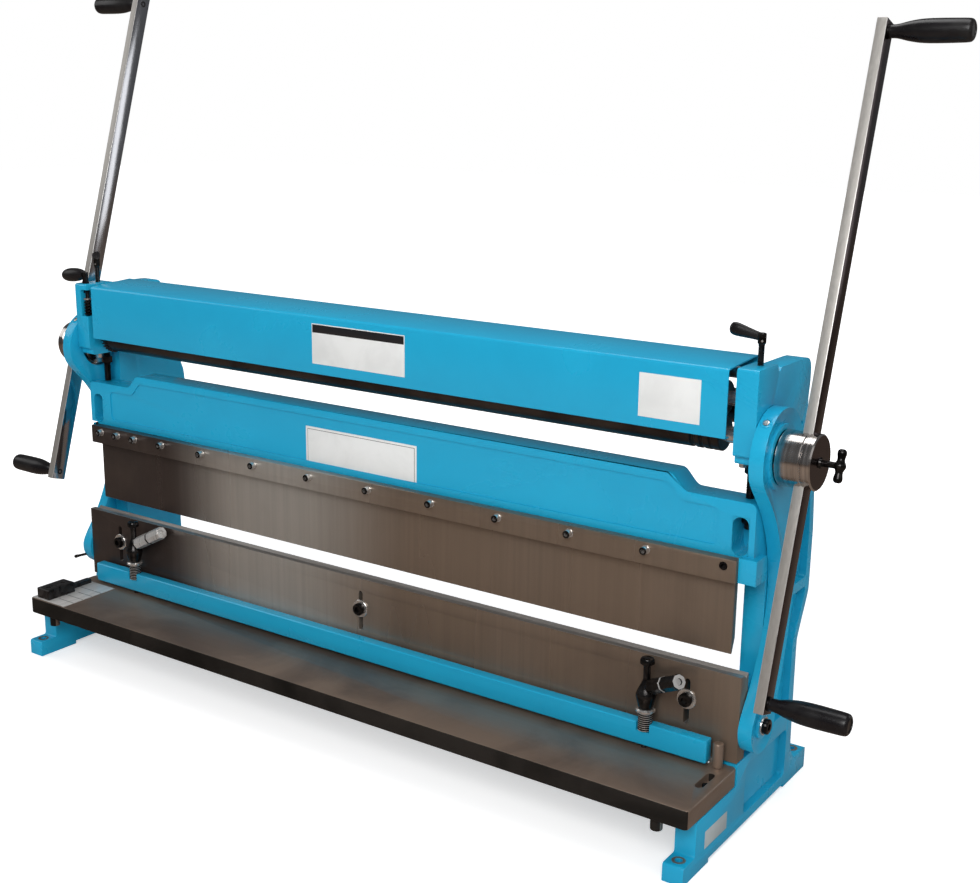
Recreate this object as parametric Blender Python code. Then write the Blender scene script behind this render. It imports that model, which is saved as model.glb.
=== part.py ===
# Hand-driven sheet metal combination machine: shear, press brake and slip rolls in one bench frame.
# Two cast end frames carry the table, the upper ram and three rolls. Turning the handle bars turns
# the lower roll and an eccentric at each end, whose link arms lift and lower the bottom ram.
# X runs along the machine, +Y is its back, and Z = 0 is the floor.

from math import acos, asin, atan2, cos, pi, radians, sin, tan

import bmesh
import bpy
from mathutils import Matrix, Vector

MM = 0.001

# Running and fitting clearances
SEAT_GAP = 0.3 * MM
SLIDE_GAP = 0.5 * MM
CUT_OVERRUN = 4.0 * MM

# End frames: places in Y are measured from the front plane of the roll guard.
# The distance between them sets every length along the machine.
DATUM_BACK_FROM_ORIGIN = -62.0 * MM
FRAME_INNER_X = 667.0 * MM
FRAME_THICKNESS = 32.5 * MM
PAD_FRONT_Y = -157.0 * MM
PAD_LENGTH = 81.0 * MM
FRONT_PAD_TOP_LENGTH = 36.0 * MM
FRONT_PAD_HEIGHT = 28.0 * MM
REAR_PAD_HEIGHT = 35.0 * MM
REAR_PAD_START_Y = 194.0 * MM
REAR_PAD_END_Y = 281.0 * MM
PAD_CLEARANCE_UNDER_RAIL = 6.0 * MM
PAD_HOLE_RADIUS = 5.5 * MM
RAIL_TOP_Z = 82.0 * MM
LUG_FRONT_Y = 9.0 * MM
LUG_TOP_Z = 117.5 * MM
COLUMN_FRONT_Y = 70.0 * MM
BACK_FOOT_Y = 214.0 * MM
BACK_WAIST_Y = 209.0 * MM
BACK_WAIST_Z = 246.0 * MM
BACK_BULGE_Y = 245.0 * MM
BACK_BULGE_LOW_Z = 316.0 * MM
BACK_BULGE_HIGH_Z = 417.0 * MM
BACK_SHOULDER_Y = 236.0 * MM
BACK_SHOULDER_Z = 504.0 * MM
BACK_NECK_Y = 185.0 * MM
BACK_NECK_Z = 622.0 * MM
HEAD_BACK_Y = 190.0 * MM
HEAD_BACK_Z = 655.0 * MM
HEAD_TOP_Z = 695.0 * MM
HEAD_DIP_Y = 69.0 * MM
HEAD_DIP = 8.0 * MM
BLOCK_DEPTH = 64.0 * MM
BLOCK_TOP_Z = 701.0 * MM
BLOCK_BOTTOM_Z = 577.0 * MM
BLOCK_STEP_Z = 565.0 * MM
BLOCK_STEP_Y = 8.0 * MM
FRAME_LARGE_FILLET = 26.0 * MM
FRAME_FILLET = 9.0 * MM
FRAME_SMALL_FILLET = 4.0 * MM
FRAME_POCKET_DEPTH = 12.0 * MM
FRAME_FLANGE = 16.0 * MM
FRAME_RIB_Z = 335.0 * MM
RAIL_RIB_Y = 40.0 * MM
BACK_HOLE_RADIUS = 5.0 * MM
BACK_HOLE_DEPTH = 14.0 * MM
BACK_HOLE_INSET = 18.0 * MM

# Rolls and their bearings
ROLL_Y = 41.0 * MM
LOWER_ROLL_Z = 597.0 * MM
ROLL_RADIUS = 25.0 * MM
ROLL_NIP = 2.0 * MM
ROLL_END_ROOM = 30.0 * MM
ROLL_COLLAR_RADIUS = 27.0 * MM
ROLL_COLLAR_WIDTH = 9.0 * MM
WIRE_GROOVE_DEPTHS = (4.0 * MM, 3.2 * MM, 2.4 * MM)
WIRE_GROOVE_PITCH = 14.0 * MM
REAR_ROLL_Y = 105.0 * MM
REAR_ROLL_Z = 625.0 * MM
LOWER_JOURNAL_RADIUS = 12.0 * MM
UPPER_JOURNAL_RADIUS = 10.0 * MM
REAR_JOURNAL_RADIUS = 9.0 * MM
BLIND_BEARING_DEPTH = 19.0 * MM
GEAR_TEETH = 26
GEAR_WIDTH = 12.0 * MM
GEAR_BACKLASH = 0.4 * MM
GEAR_ADDENDUM = 1.7 * MM
GEAR_DEDENDUM = 2.4 * MM
BEARING_SLOT_WIDTH = 36.0 * MM
BEARING_SLOT_DEPTH = 23.5 * MM
BEARING_SLOT_BOTTOM_Z = 634.0 * MM
BEARING_SLOT_TOP_Z = 690.0 * MM
BEARING_BLOCK_HEIGHT = 32.0 * MM

# Roll pressure screws and the release lever on the head blocks
SCREW_INSET = 16.0 * MM
SCREW_RADIUS = 4.5 * MM
SCREW_COLLAR_RADIUS = 6.5 * MM
SCREW_COLLAR_HEIGHT = 14.0 * MM
SCREW_TOP_Z = 746.0 * MM
SCREW_HEAD_RADIUS = 6.0 * MM
SCREW_LEVER_LENGTH = 48.0 * MM
SCREW_LEVER_RISE = 8.0 * MM
SCREW_LEVER_SWING_LEFT = radians(141.0)
SCREW_LEVER_SWING_RIGHT = radians(180.0)
SCREW_LEVER_RADIUS = 9.5 * MM
LEVER_CORE_RADIUS = 4.0 * MM
LEVER_CORE_LENGTH = 24.0 * MM
RELEASE_Y = 12.0 * MM
RELEASE_HOLE_DEPTH = 18.0 * MM
RELEASE_AXIS_Z = 718.0 * MM
RELEASE_GRIP_RADIUS = 13.0 * MM
RELEASE_REACH = 62.0 * MM
RELEASE_DROOP = 5.0 * MM

# Roll guard of bent sheet and the tie bar that it hangs on
GUARD_SHEET = 2.0 * MM
GUARD_END_ROOM = 12.0 * MM
GUARD_BOTTOM_Z = 599.0 * MM
GUARD_RETURN = 12.0 * MM
GUARD_TOP_FRONT_Z = 698.0 * MM
GUARD_TOP_BACK_Z = 705.0 * MM
GUARD_BACK_Y = 100.0 * MM
GUARD_BACK_FLANGE = 22.0 * MM
GUARD_BEND_RADIUS = 5.0 * MM
GUARD_BRACKET_INSET = 185.0 * MM
GUARD_BRACKET_WIDTH = 28.0 * MM
TIE_Y = 82.0 * MM
TIE_Z = 678.0 * MM
TIE_RADIUS = 8.0 * MM
TIE_TENON_RADIUS = 5.0 * MM
TIE_TENON_LENGTH = 12.0 * MM
REAR_TIE_Y = 176.0 * MM
REAR_TIE_Z = 106.0 * MM
REAR_TIE_RADIUS = 13.0 * MM

# Table, its shear blade, gauge and scale
TABLE_END_SETBACK = 0.5 * MM
TABLE_FRONT_Y = -151.0 * MM
TABLE_TOP_Z = 112.0 * MM
TABLE_CORNER_RADIUS = 7.0 * MM
TABLE_EDGE_BEVEL = 1.2 * MM
TABLE_SLOT_INSET = 21.0 * MM
TABLE_SLOT_WIDTH = 13.0 * MM
TABLE_SLOT_START_Y = -80.0 * MM
TABLE_SLOT_END_Y = -30.0 * MM
TABLE_SLOT_DEPTH = 12.0 * MM
TABLE_BOSS_INSET = 53.0 * MM
TABLE_BOSS_Y = -138.0 * MM
TABLE_BOSS_RADIUS = 9.0 * MM
TABLE_BOSS_DROP = 18.0 * MM
BLADE_END_ROOM = 12.0 * MM
FIXED_BLADE_BACK_Y = 4.2 * MM
FIXED_BLADE_DEPTH = 12.0 * MM
FIXED_BLADE_HEIGHT = 22.0 * MM
GAUGE_INSET = 15.0 * MM
GAUGE_WIDTH = 34.0 * MM
GAUGE_FRONT_Y = -148.0 * MM
GAUGE_LENGTH = 65.0 * MM
GAUGE_HEIGHT = 20.0 * MM
GAUGE_HOLE_RADIUS = 4.5 * MM
GAUGE_HOLE_PITCH = 34.0 * MM
GAUGE_ARM_WIDTH = 12.0 * MM
GAUGE_ARM_LENGTH = 52.0 * MM
GAUGE_ARM_HEIGHT = 8.0 * MM
SCALE_THICKNESS = 1.2 * MM
SCALE_LENGTH = 91.0 * MM
SCALE_END_MARGIN = 4.0 * MM
SCALE_BACK_Y = -26.0 * MM

# Hold-down bar, its studs and clamp handles
HOLD_END_ROOM = 6.0 * MM
HOLD_FRONT_Y = -20.0 * MM
HOLD_BACK_Y = -1.0 * MM
HOLD_THROAT = 5.4 * MM
HOLD_TOP_Z = 153.0 * MM
HOLD_BEVEL = 1.5 * MM
HOLD_TRAVEL = 4.0 * MM
CLAMP_INSET = 104.0 * MM
CLAMP_Y = -12.5 * MM
CLAMP_STUD_RADIUS = 4.0 * MM
CLAMP_STUD_SINK = 12.0 * MM
CLAMP_STUD_TOP_Z = 194.0 * MM
CLAMP_SLEEVE_RADIUS = 11.0 * MM
CLAMP_SLEEVE_BOTTOM_Z = 140.0 * MM
CLAMP_SLEEVE_TOP_Z = 170.0 * MM
CLAMP_RIB_DEPTH = 1.2 * MM
CLAMP_RIBS = 3
CLAMP_WASHER_RADIUS = 15.0 * MM
CLAMP_WASHER_HEIGHT = 5.5 * MM
CLAMP_BODY_RADIUS = 15.5 * MM
CLAMP_BODY_HEIGHT = 44.0 * MM
CLAMP_NECK_RADIUS = 5.5 * MM
CLAMP_CAP_BOTTOM_Z = 245.0 * MM
CLAMP_CAP_TOP_Z = 256.0 * MM
CLAMP_CAP_RADIUS = 11.0 * MM
CLAMP_LEVER_RISE = 32.0 * MM
CLAMP_LEVER_TILT = radians(27.0)
CLAMP_LEVER_SWING_LEFT = 0.0
CLAMP_LEVER_SWING_RIGHT = radians(-28.0)
CLAMP_LEVER_RADIUS = 11.0 * MM
CLAMP_LEVER_LENGTH = 76.0 * MM
CLAMP_LEVER_START = 14.0 * MM
CLAMP_LEVER_CORE_LENGTH = 40.0 * MM
CLAMP_LEVER_CHAMFER = 1.0 * MM
CLAMP_LEVER_GROOVE = 1.5 * MM

# Bottom ram: beam, bending plate, moving shear blade and link pins
PLATE_END_SETBACK = 0.5 * MM
PLATE_FRONT_Y = 5.0 * MM
PLATE_THICKNESS = 25.0 * MM
PLATE_BOTTOM_Z = 119.0 * MM
PLATE_HEIGHT = 134.0 * MM
VEE_HALF_WIDTH = 6.4 * MM
VEE_DEPTH = 6.4 * MM
PLATE_SLOT_INSET = 84.0 * MM
PLATE_SLOT_CENTRE_X = -6.0 * MM
PLATE_SLOT_WIDTH = 9.0 * MM
PLATE_SLOT_RISE = 40.0 * MM
PLATE_SLOT_HEIGHT = 72.0 * MM
PLATE_SCREW_RISE = 80.0 * MM
PLATE_SCREW_RADIUS = 4.0 * MM
PLATE_SCREW_HEAD_RADIUS = 8.0 * MM
PLATE_SCREW_HEAD_HEIGHT = 6.5 * MM
PLATE_WASHER_RADIUS = 13.0 * MM
PLATE_WASHER_HEIGHT = 2.5 * MM
PLATE_SCREW_SINK = 14.0 * MM
BEAM_END_SETBACK = 1.5 * MM
BEAM_BACK_Y = 66.0 * MM
BEAM_RISE = 11.0 * MM
BEAM_HEIGHT = 105.0 * MM
GUIDE_OVERLAP = 5.0 * MM
MOVING_BLADE_THICKNESS = 12.5 * MM
MOVING_BLADE_DROP_LEFT = 16.0 * MM
MOVING_BLADE_DROP_RIGHT = 9.0 * MM
BLADE_CLEARANCE = 0.6 * MM

# Upper ram, punch plate and clamp strip
RAM_END_SETBACK = 0.5 * MM
RAM_FRONT_Y = 21.0 * MM
RAM_BACK_Y = 66.0 * MM
RAM_BOTTOM_Z = 392.0 * MM
RAM_SHOULDER_HEIGHT = 116.0 * MM
RAM_CROWN_RISE = 25.0 * MM
RAM_CROWN_INSET = 133.0 * MM
RAM_STEP_RUN = 22.0 * MM
RAM_STEP_RADIUS = 14.0 * MM
RAM_CORNER_RADIUS = 9.0 * MM
RAM_PANEL_INSET = 57.0 * MM
RAM_PANEL_MARGIN = 14.0 * MM
RAM_PANEL_DEPTH = 2.5 * MM
RAM_REBATE_HEIGHT = 31.5 * MM
RAM_POCKET_DEPTH = 20.0 * MM
RAM_POCKETS = 4
RAM_POCKET_RIB = 14.0 * MM
WINDOW_WIDTH = 24.0 * MM
WINDOW_RISE = 37.0 * MM
WINDOW_HEIGHT = 56.0 * MM
WINDOW_BACK_WALL = 5.5 * MM
WINDOW_FILLET = 1.5 * MM
FOOT_FRONT_Y = 10.0 * MM
FOOT_BACK_Y = 45.0 * MM
FOOT_OVERHANG = 9.5 * MM
FOOT_HEIGHT = 37.0 * MM
STRIP_END_INSET = 18.0 * MM
STRIP_THICKNESS = 16.7 * MM
STRIP_HEIGHT = 34.0 * MM
STRIP_BOLT_PITCH = 131.0 * MM
STRIP_BOLTS = 8
STRIP_FIRST_BOLT_INSET = 143.0 * MM
STRIP_CLOSE_BOLT_INSETS = (29.0 * MM, 75.0 * MM, 123.0 * MM, 197.0 * MM)
STRIP_BOLT_DROP = 11.0 * MM
STRIP_BOLT_RADIUS = 6.0 * MM
STRIP_BOLT_HEIGHT = 11.0 * MM
STRIP_END_HOLE_INSET = 20.0 * MM
PUNCH_END_INSET = 8.0 * MM
PUNCH_THICKNESS = 11.2 * MM
PUNCH_DROP = 114.0 * MM
PUNCH_TAPER_HEIGHT = 22.0 * MM
PUNCH_EDGE_WIDTH = 3.0 * MM

# Hanging studs and nuts of the upper ram
STUD_INSET = 10.0 * MM
STUD_Y = 48.0 * MM
STUD_RADIUS = 6.5 * MM
STUD_RISE_IN_WINDOW = 33.0 * MM
STUD_SINK_IN_BLOCK = 9.0 * MM
STUD_COLLAR_Z = 544.0 * MM
STUD_COLLAR_HEIGHT = 12.0 * MM
NUT_ACROSS_FLATS = 18.0 * MM
NUT_HEIGHT = 14.0 * MM

# Eccentrics, hubs, link arms and handle bars at the two ends
HUB_Y = 50.0 * MM
HUB_Z = 574.5 * MM
HUB_RADIUS = 40.0 * MM
HUB_LENGTH = 52.8 * MM
HUB_STEP_INSET = 18.0 * MM
HUB_STEP_DEPTH = 2.0 * MM
HUB_CHAMFER = 2.5 * MM
SHEAVE_RADIUS = 34.0 * MM
SHAFT_STUB_RADIUS = 8.0 * MM
SHAFT_STUB_LENGTH = 15.0 * MM
ARM_GAP = 0.8 * MM
ARM_THICKNESS = 21.4 * MM
ARM_EYE_RADIUS = 70.0 * MM
ARM_EYE_BORE_RADIUS = 39.5 * MM
ARM_EYE_BOSS_RADIUS = 48.0 * MM
ARM_RIM_WIDTH = 10.0 * MM
ARM_POCKET_DEPTH = 5.0 * MM
ARM_FOOT_RADIUS = 43.0 * MM
ARM_FOOT_BOSS_RADIUS = 20.0 * MM
ARM_FRONT_BOW_Y = 104.8 * MM
ARM_BACK_BOW_Y = 131.0 * MM
LINK_PIN_Y = 41.0 * MM
LINK_PIN_Z = 172.0 * MM
LINK_PIN_RADIUS = 7.0 * MM
LINK_PIN_SINK = 24.0 * MM
LINK_PIN_HEAD_RADIUS = 14.0 * MM
LINK_PIN_HEAD_HEIGHT = 9.0 * MM
BAR_INSET = 19.0 * MM
BAR_THICKNESS = 15.0 * MM
BAR_WIDTH = 30.0 * MM
BAR_LEAN_Y = 228.0 * MM
BAR_TOP_Z = 1163.0 * MM
BAR_LENGTH_BELOW = 353.0 * MM
LEFT_BAR_SHIFT = 79.0 * MM
GRIP_INSET = 15.0 * MM
GRIP_LENGTH = 115.0 * MM
GRIP_NECK_RADIUS = 9.5 * MM
GRIP_RADIUS = 16.5 * MM
HUB_SCREW_RADIUS = 5.0 * MM
HUB_SCREW_REACH = 28.0 * MM
HUB_TEE_RADIUS = 6.5 * MM
HUB_TEE_LENGTH = 47.0 * MM

# How finely curves are divided
FINE_SEGMENTS = 24
ROUND_SEGMENTS = 16
SMALL_SEGMENTS = 12
ARM_SIDE_STEPS = 7
ARC_STEP = radians(30)

# Shares of the sizes above
grip_end_share = 0.62
grip_shoulder_share = 0.35
grip_dome_share = 0.88
grip_tip_share = 0.72
clamp_foot_share = 0.72
clamp_swell_shares = (0.36, 0.5)
eye_front_share = 0.42
eye_back_share = 0.35
foot_back_share = 0.3
foot_front_share = 0.3
grip_length_shares = (0, 0.09, 0.22, 0.36, 0.93, 0.985, 1)
grip_swell_shares = (0.57, 0.57, 0.78, 0.94, 1, 0.9, 0.6)

# Places that follow from the sizes above
FRAME_OUTER_X = FRAME_INNER_X + FRAME_THICKNESS
UPPER_ROLL_Z = LOWER_ROLL_Z + 2 * ROLL_RADIUS + ROLL_NIP
GEAR_RADIUS = (UPPER_ROLL_Z - LOWER_ROLL_Z) / 2
ARM_INNER_X = FRAME_OUTER_X + ARM_GAP
ARM_OUTER_X = ARM_INNER_X + ARM_THICKNESS
HUB_INNER_X = ARM_OUTER_X + SLIDE_GAP
HUB_OUTER_X = HUB_INNER_X + HUB_LENGTH
HUB_STEP_X = HUB_OUTER_X - HUB_STEP_INSET
BAR_X = HUB_OUTER_X - BAR_INSET
ROLL_HALF_LENGTH = FRAME_INNER_X - ROLL_END_ROOM
SCREW_X = FRAME_INNER_X + SCREW_INSET
GUARD_HALF_LENGTH = FRAME_INNER_X - GUARD_END_ROOM
GUARD_BRACKET_X = GUARD_HALF_LENGTH - GUARD_BRACKET_INSET
TABLE_HALF_LENGTH = FRAME_OUTER_X - TABLE_END_SETBACK
TABLE_SLOT_X = TABLE_HALF_LENGTH - TABLE_SLOT_INSET
TABLE_BOSS_X = TABLE_HALF_LENGTH - TABLE_BOSS_INSET
BLADE_HALF_LENGTH = FRAME_INNER_X - BLADE_END_ROOM
GAUGE_OUTER_X = TABLE_HALF_LENGTH - GAUGE_INSET
SCALE_OUTER_X = TABLE_HALF_LENGTH - SCALE_END_MARGIN
HOLD_HALF_LENGTH = FRAME_INNER_X - HOLD_END_ROOM
CLAMP_X = HOLD_HALF_LENGTH - CLAMP_INSET
PLATE_HALF_LENGTH = FRAME_OUTER_X - PLATE_END_SETBACK
PLATE_SLOT_X = PLATE_HALF_LENGTH - PLATE_SLOT_INSET
BEAM_HALF_LENGTH = FRAME_OUTER_X - BEAM_END_SETBACK
GUIDE_INNER_X = FRAME_INNER_X - GUIDE_OVERLAP
RAM_HALF_LENGTH = FRAME_OUTER_X - RAM_END_SETBACK
RAM_CROWN_HALF_LENGTH = RAM_HALF_LENGTH - RAM_CROWN_INSET
RAM_PANEL_HALF_LENGTH = RAM_HALF_LENGTH - RAM_PANEL_INSET
STRIP_HALF_LENGTH = RAM_HALF_LENGTH - STRIP_END_INSET
PUNCH_HALF_LENGTH = STRIP_HALF_LENGTH - PUNCH_END_INSET
STUD_X = FRAME_INNER_X + STUD_INSET
WINDOW_INNER_X = STUD_X - WINDOW_WIDTH / 2
WINDOW_OUTER_X = STUD_X + WINDOW_WIDTH / 2
FOOT_OUTER_X = FRAME_OUTER_X + FOOT_OVERHANG
PUNCH_FRONT_Y = RAM_FRONT_Y + SEAT_GAP
PUNCH_BACK_Y = PUNCH_FRONT_Y + PUNCH_THICKNESS
REBATE_BACK_Y = PUNCH_BACK_Y + SEAT_GAP
STRIP_BACK_Y = RAM_FRONT_Y - SEAT_GAP
STRIP_FRONT_Y = STRIP_BACK_Y - STRIP_THICKNESS
PLATE_BACK_Y = PLATE_FRONT_Y + PLATE_THICKNESS
BEAM_FRONT_Y = PLATE_BACK_Y + SEAT_GAP
GUIDE_BACK_Y = COLUMN_FRONT_Y - SLIDE_GAP
VEE_Y = PUNCH_FRONT_Y + PUNCH_EDGE_WIDTH / 2
PLATE_TOP_Z = PLATE_BOTTOM_Z + PLATE_HEIGHT
PLATE_SLOT_BOTTOM_Z = PLATE_BOTTOM_Z + PLATE_SLOT_RISE
PLATE_SLOT_TOP_Z = PLATE_SLOT_BOTTOM_Z + PLATE_SLOT_HEIGHT
PLATE_SCREW_Z = PLATE_BOTTOM_Z + PLATE_SCREW_RISE
BEAM_BOTTOM_Z = PLATE_BOTTOM_Z + BEAM_RISE
BEAM_TOP_Z = BEAM_BOTTOM_Z + BEAM_HEIGHT
RAM_SHOULDER_Z = RAM_BOTTOM_Z + RAM_SHOULDER_HEIGHT
RAM_CROWN_Z = RAM_SHOULDER_Z + RAM_CROWN_RISE
RAM_REBATE_TOP_Z = RAM_BOTTOM_Z + RAM_REBATE_HEIGHT
WINDOW_BOTTOM_Z = RAM_BOTTOM_Z + WINDOW_RISE
WINDOW_TOP_Z = WINDOW_BOTTOM_Z + WINDOW_HEIGHT
FOOT_TOP_Z = RAM_BOTTOM_Z + FOOT_HEIGHT
STRIP_TOP_Z = RAM_BOTTOM_Z + STRIP_HEIGHT
PUNCH_BOTTOM_Z = RAM_BOTTOM_Z - PUNCH_DROP
STUD_BOTTOM_Z = WINDOW_BOTTOM_Z + STUD_RISE_IN_WINDOW
HOLD_BOTTOM_Z = TABLE_TOP_Z + HOLD_THROAT
BEARING_BLOCK_BOTTOM_Z = BEARING_SLOT_BOTTOM_Z + SEAT_GAP
SCREW_BOTTOM_Z = BEARING_BLOCK_BOTTOM_Z + BEARING_BLOCK_HEIGHT + SEAT_GAP
BAR_DIRECTION = Vector((0, BAR_LEAN_Y - HUB_Y, BAR_TOP_Z - HUB_Z)).normalized()
BAR_LENGTH_ABOVE = Vector((0, BAR_LEAN_Y - HUB_Y, BAR_TOP_Z - HUB_Z)).length

for old in list(bpy.data.objects):
    bpy.data.objects.remove(old, do_unlink=True)


# Materials
def paint(name, colour, metallic, roughness, coat=0.0):
    material = bpy.data.materials.new(name)
    material.use_nodes = True
    shader = material.node_tree.nodes["Principled BSDF"]
    shader.inputs["Base Color"].default_value = (*colour, 1)
    shader.inputs["Metallic"].default_value = metallic
    shader.inputs["Roughness"].default_value = roughness
    shader.inputs["Coat Weight"].default_value = coat
    material.diffuse_color = (*colour, 1)
    return material


BLUE = paint("sky_blue_gloss_paint", (0.02, 0.38, 0.60), 0.0, 0.22, 0.6)
BROWN_STEEL = paint("ground_plate_steel", (0.20, 0.17, 0.15), 1.0, 0.38)
TABLE_STEEL = paint("oiled_cast_table", (0.07, 0.06, 0.055), 0.8, 0.42)
BRIGHT_STEEL = paint("polished_steel", (0.62, 0.62, 0.62), 1.0, 0.16)
CHROME = paint("chrome_bar", (0.75, 0.76, 0.78), 1.0, 0.08)
BLACK_STEEL = paint("black_oxide_steel", (0.02, 0.02, 0.02), 0.6, 0.40)
BLACK_PLASTIC = paint("black_grip_plastic", (0.012, 0.012, 0.012), 0.0, 0.32)


# Places in the machine: empties that the pieces hang on
def anchor(name, y=0.0, z=0.0, x=0.0, parent=None):
    empty = bpy.data.objects.new(name, None)
    bpy.context.collection.objects.link(empty)
    empty.location = (x, y, z)
    if parent is not None:
        empty.parent = parent
    return empty


DATUM = anchor("machine_datum", y=DATUM_BACK_FROM_ORIGIN)


def place_of(empty):
    """Where an anchor is, measured from the machine datum."""
    place = Vector((0, 0, 0))
    while empty is not None and empty is not DATUM:
        place += empty.location
        empty = empty.parent
    return place


def finish(name, shape, material, carrier=DATUM, smooth=True, bevel=0.0):
    """Makes an object of a shape drawn in datum coordinates and hangs it on its carrier."""
    bmesh.ops.recalc_face_normals(shape, faces=shape.faces[:])
    bmesh.ops.translate(shape, verts=shape.verts[:], vec=-place_of(carrier))
    mesh = bpy.data.meshes.new(name)
    shape.to_mesh(mesh)
    shape.free()
    mesh.materials.append(material)
    piece = bpy.data.objects.new(name, mesh)
    bpy.context.collection.objects.link(piece)
    piece.parent = carrier
    if smooth:
        mesh.shade_smooth()
        mesh.set_sharp_from_angle(angle=radians(32))
    if bevel:
        rounding = piece.modifiers.new("edge_rounding", "BEVEL")
        rounding.width = bevel
        rounding.segments = 1
        rounding.limit_method = "ANGLE"
        rounding.angle_limit = radians(60)
    return piece


def combine(piece, shape, operation):
    """Cuts a hidden tool's shape from a piece, or joins it on."""
    tool = finish(piece.name + "_tool", shape, piece.data.materials[0], piece.parent, smooth=False)
    tool.hide_render = True
    tool.display_type = "WIRE"
    step = piece.modifiers.new(operation.lower(), "BOOLEAN")
    step.operation = operation
    step.solver = "EXACT"
    step.object = tool
    return piece


def cut(piece, *shapes):
    for shape in shapes:
        combine(piece, shape, "DIFFERENCE")
    return piece


def join(piece, *shapes):
    for shape in shapes:
        combine(piece, shape, "UNION")
    return piece


# Shapes
def lift(axis, along, first, second):
    """A point from its place along an axis and its two places across it, in X, Y, Z order."""
    if axis == "X":
        return Vector((along, first, second))
    if axis == "Y":
        return Vector((first, along, second))
    return Vector((first, second, along))


def prism(axis, outline, start, end):
    shape = bmesh.new()
    near = [shape.verts.new(lift(axis, start, a, b)) for a, b in outline]
    far = [shape.verts.new(lift(axis, end, a, b)) for a, b in outline]
    shape.faces.new(near)
    shape.faces.new(far[::-1])
    count = len(outline)
    for i in range(count):
        after = (i + 1) % count
        shape.faces.new((near[i], near[after], far[after], far[i]))
    return shape


def block(low, high):
    return prism("X", [(low[1], low[2]), (high[1], low[2]), (high[1], high[2]), (low[1], high[2])],
                 low[0], high[0])


def revolve(axis, centre, profile, segments=ROUND_SEGMENTS):
    """Turns a profile of (place along the axis, radius) pairs; a zero radius closes an end."""
    shape = bmesh.new()
    rings = []
    for along, radius in profile:
        if radius == 0:
            rings.append([shape.verts.new(lift(axis, along, centre[0], centre[1]))])
            continue
        ring = []
        for i in range(segments):
            angle = 2 * pi * i / segments
            ring.append(shape.verts.new(lift(axis, along, centre[0] + radius * cos(angle),
                                             centre[1] + radius * sin(angle))))
        rings.append(ring)
    for near, far in zip(rings, rings[1:]):
        for i in range(segments):
            after = (i + 1) % segments
            corners = [near[i % len(near)], near[after % len(near)]]
            corners += [far[after % len(far)], far[i % len(far)]]
            shape.faces.new(list(dict.fromkeys(corners)))
    if len(rings[0]) > 1:
        shape.faces.new(rings[0])
    if len(rings[-1]) > 1:
        shape.faces.new(rings[-1][::-1])
    return shape


def rod(axis, centre, start, end, radius, segments=ROUND_SEGMENTS):
    return revolve(axis, centre, [(start, radius), (end, radius)], segments)


def turned_to(shape, origin, direction):
    """Swings a shape drawn up the Z axis at zero to point along a direction from an origin."""
    turn = Vector((0, 0, 1)).rotation_difference(direction).to_matrix().to_4x4()
    bmesh.ops.transform(shape, matrix=Matrix.Translation(origin) @ turn, verts=shape.verts[:])
    return shape


def hexagon(centre, across_flats):
    """Six corners with two flats square to the first direction."""
    corner = across_flats / (2 * cos(pi / 6))
    return [(centre[0] + corner * cos(pi / 6 + pi * i / 3), centre[1] + corner * sin(pi / 6 + pi * i / 3))
            for i in range(6)]


def arc(centre, radius, start, end, step=ARC_STEP):
    count = max(1, round(abs(end - start) / step))
    return [(centre[0] + radius * cos(start + (end - start) * i / count),
             centre[1] + radius * sin(start + (end - start) * i / count)) for i in range(count + 1)]


def filleted(corners):
    """An outline from (a, b, radius) corners, each radius drawn as an arc touching both edges."""
    outline = []
    count = len(corners)
    for i in range(count):
        here = Vector(corners[i][:2])
        radius = corners[i][2]
        back = (Vector(corners[i - 1][:2]) - here)
        ahead = (Vector(corners[(i + 1) % count][:2]) - here)
        opening = back.angle(ahead)
        if radius == 0 or opening > radians(176):
            outline.append(tuple(here))
            continue
        reach = min(radius / tan(opening / 2), back.length / 2, ahead.length / 2)
        radius = reach * tan(opening / 2)
        centre = here + (back.normalized() + ahead.normalized()).normalized() * (radius / sin(opening / 2))
        first = here + back.normalized() * reach - centre
        last = here + ahead.normalized() * reach - centre
        start = atan2(first.y, first.x)
        sweep = first.angle_signed(last)
        outline += arc(centre, radius, start, start - sweep)
    return outline


def bezier(first, pull_first, pull_last, last, steps):
    points = []
    for i in range(1, steps):
        t = i / steps
        weights = ((1 - t) ** 3, 3 * (1 - t) ** 2 * t, 3 * (1 - t) * t * t, t ** 3)
        points.append(tuple(sum(w * p[k] for w, p in zip(weights, (first, pull_first, pull_last, last)))
                            for k in range(2)))
    return points


# Cast end frames
def back_edge(inset):
    """The frame's back edge from the rail up to the neck, moved in by an inset."""
    return [
        (BACK_WAIST_Y - inset, BACK_WAIST_Z, FRAME_LARGE_FILLET),
        (BACK_BULGE_Y - inset, BACK_BULGE_LOW_Z, FRAME_LARGE_FILLET),
        (BACK_BULGE_Y - inset, BACK_BULGE_HIGH_Z, FRAME_LARGE_FILLET),
        (BACK_SHOULDER_Y - inset, BACK_SHOULDER_Z, FRAME_LARGE_FILLET),
    ]


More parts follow.
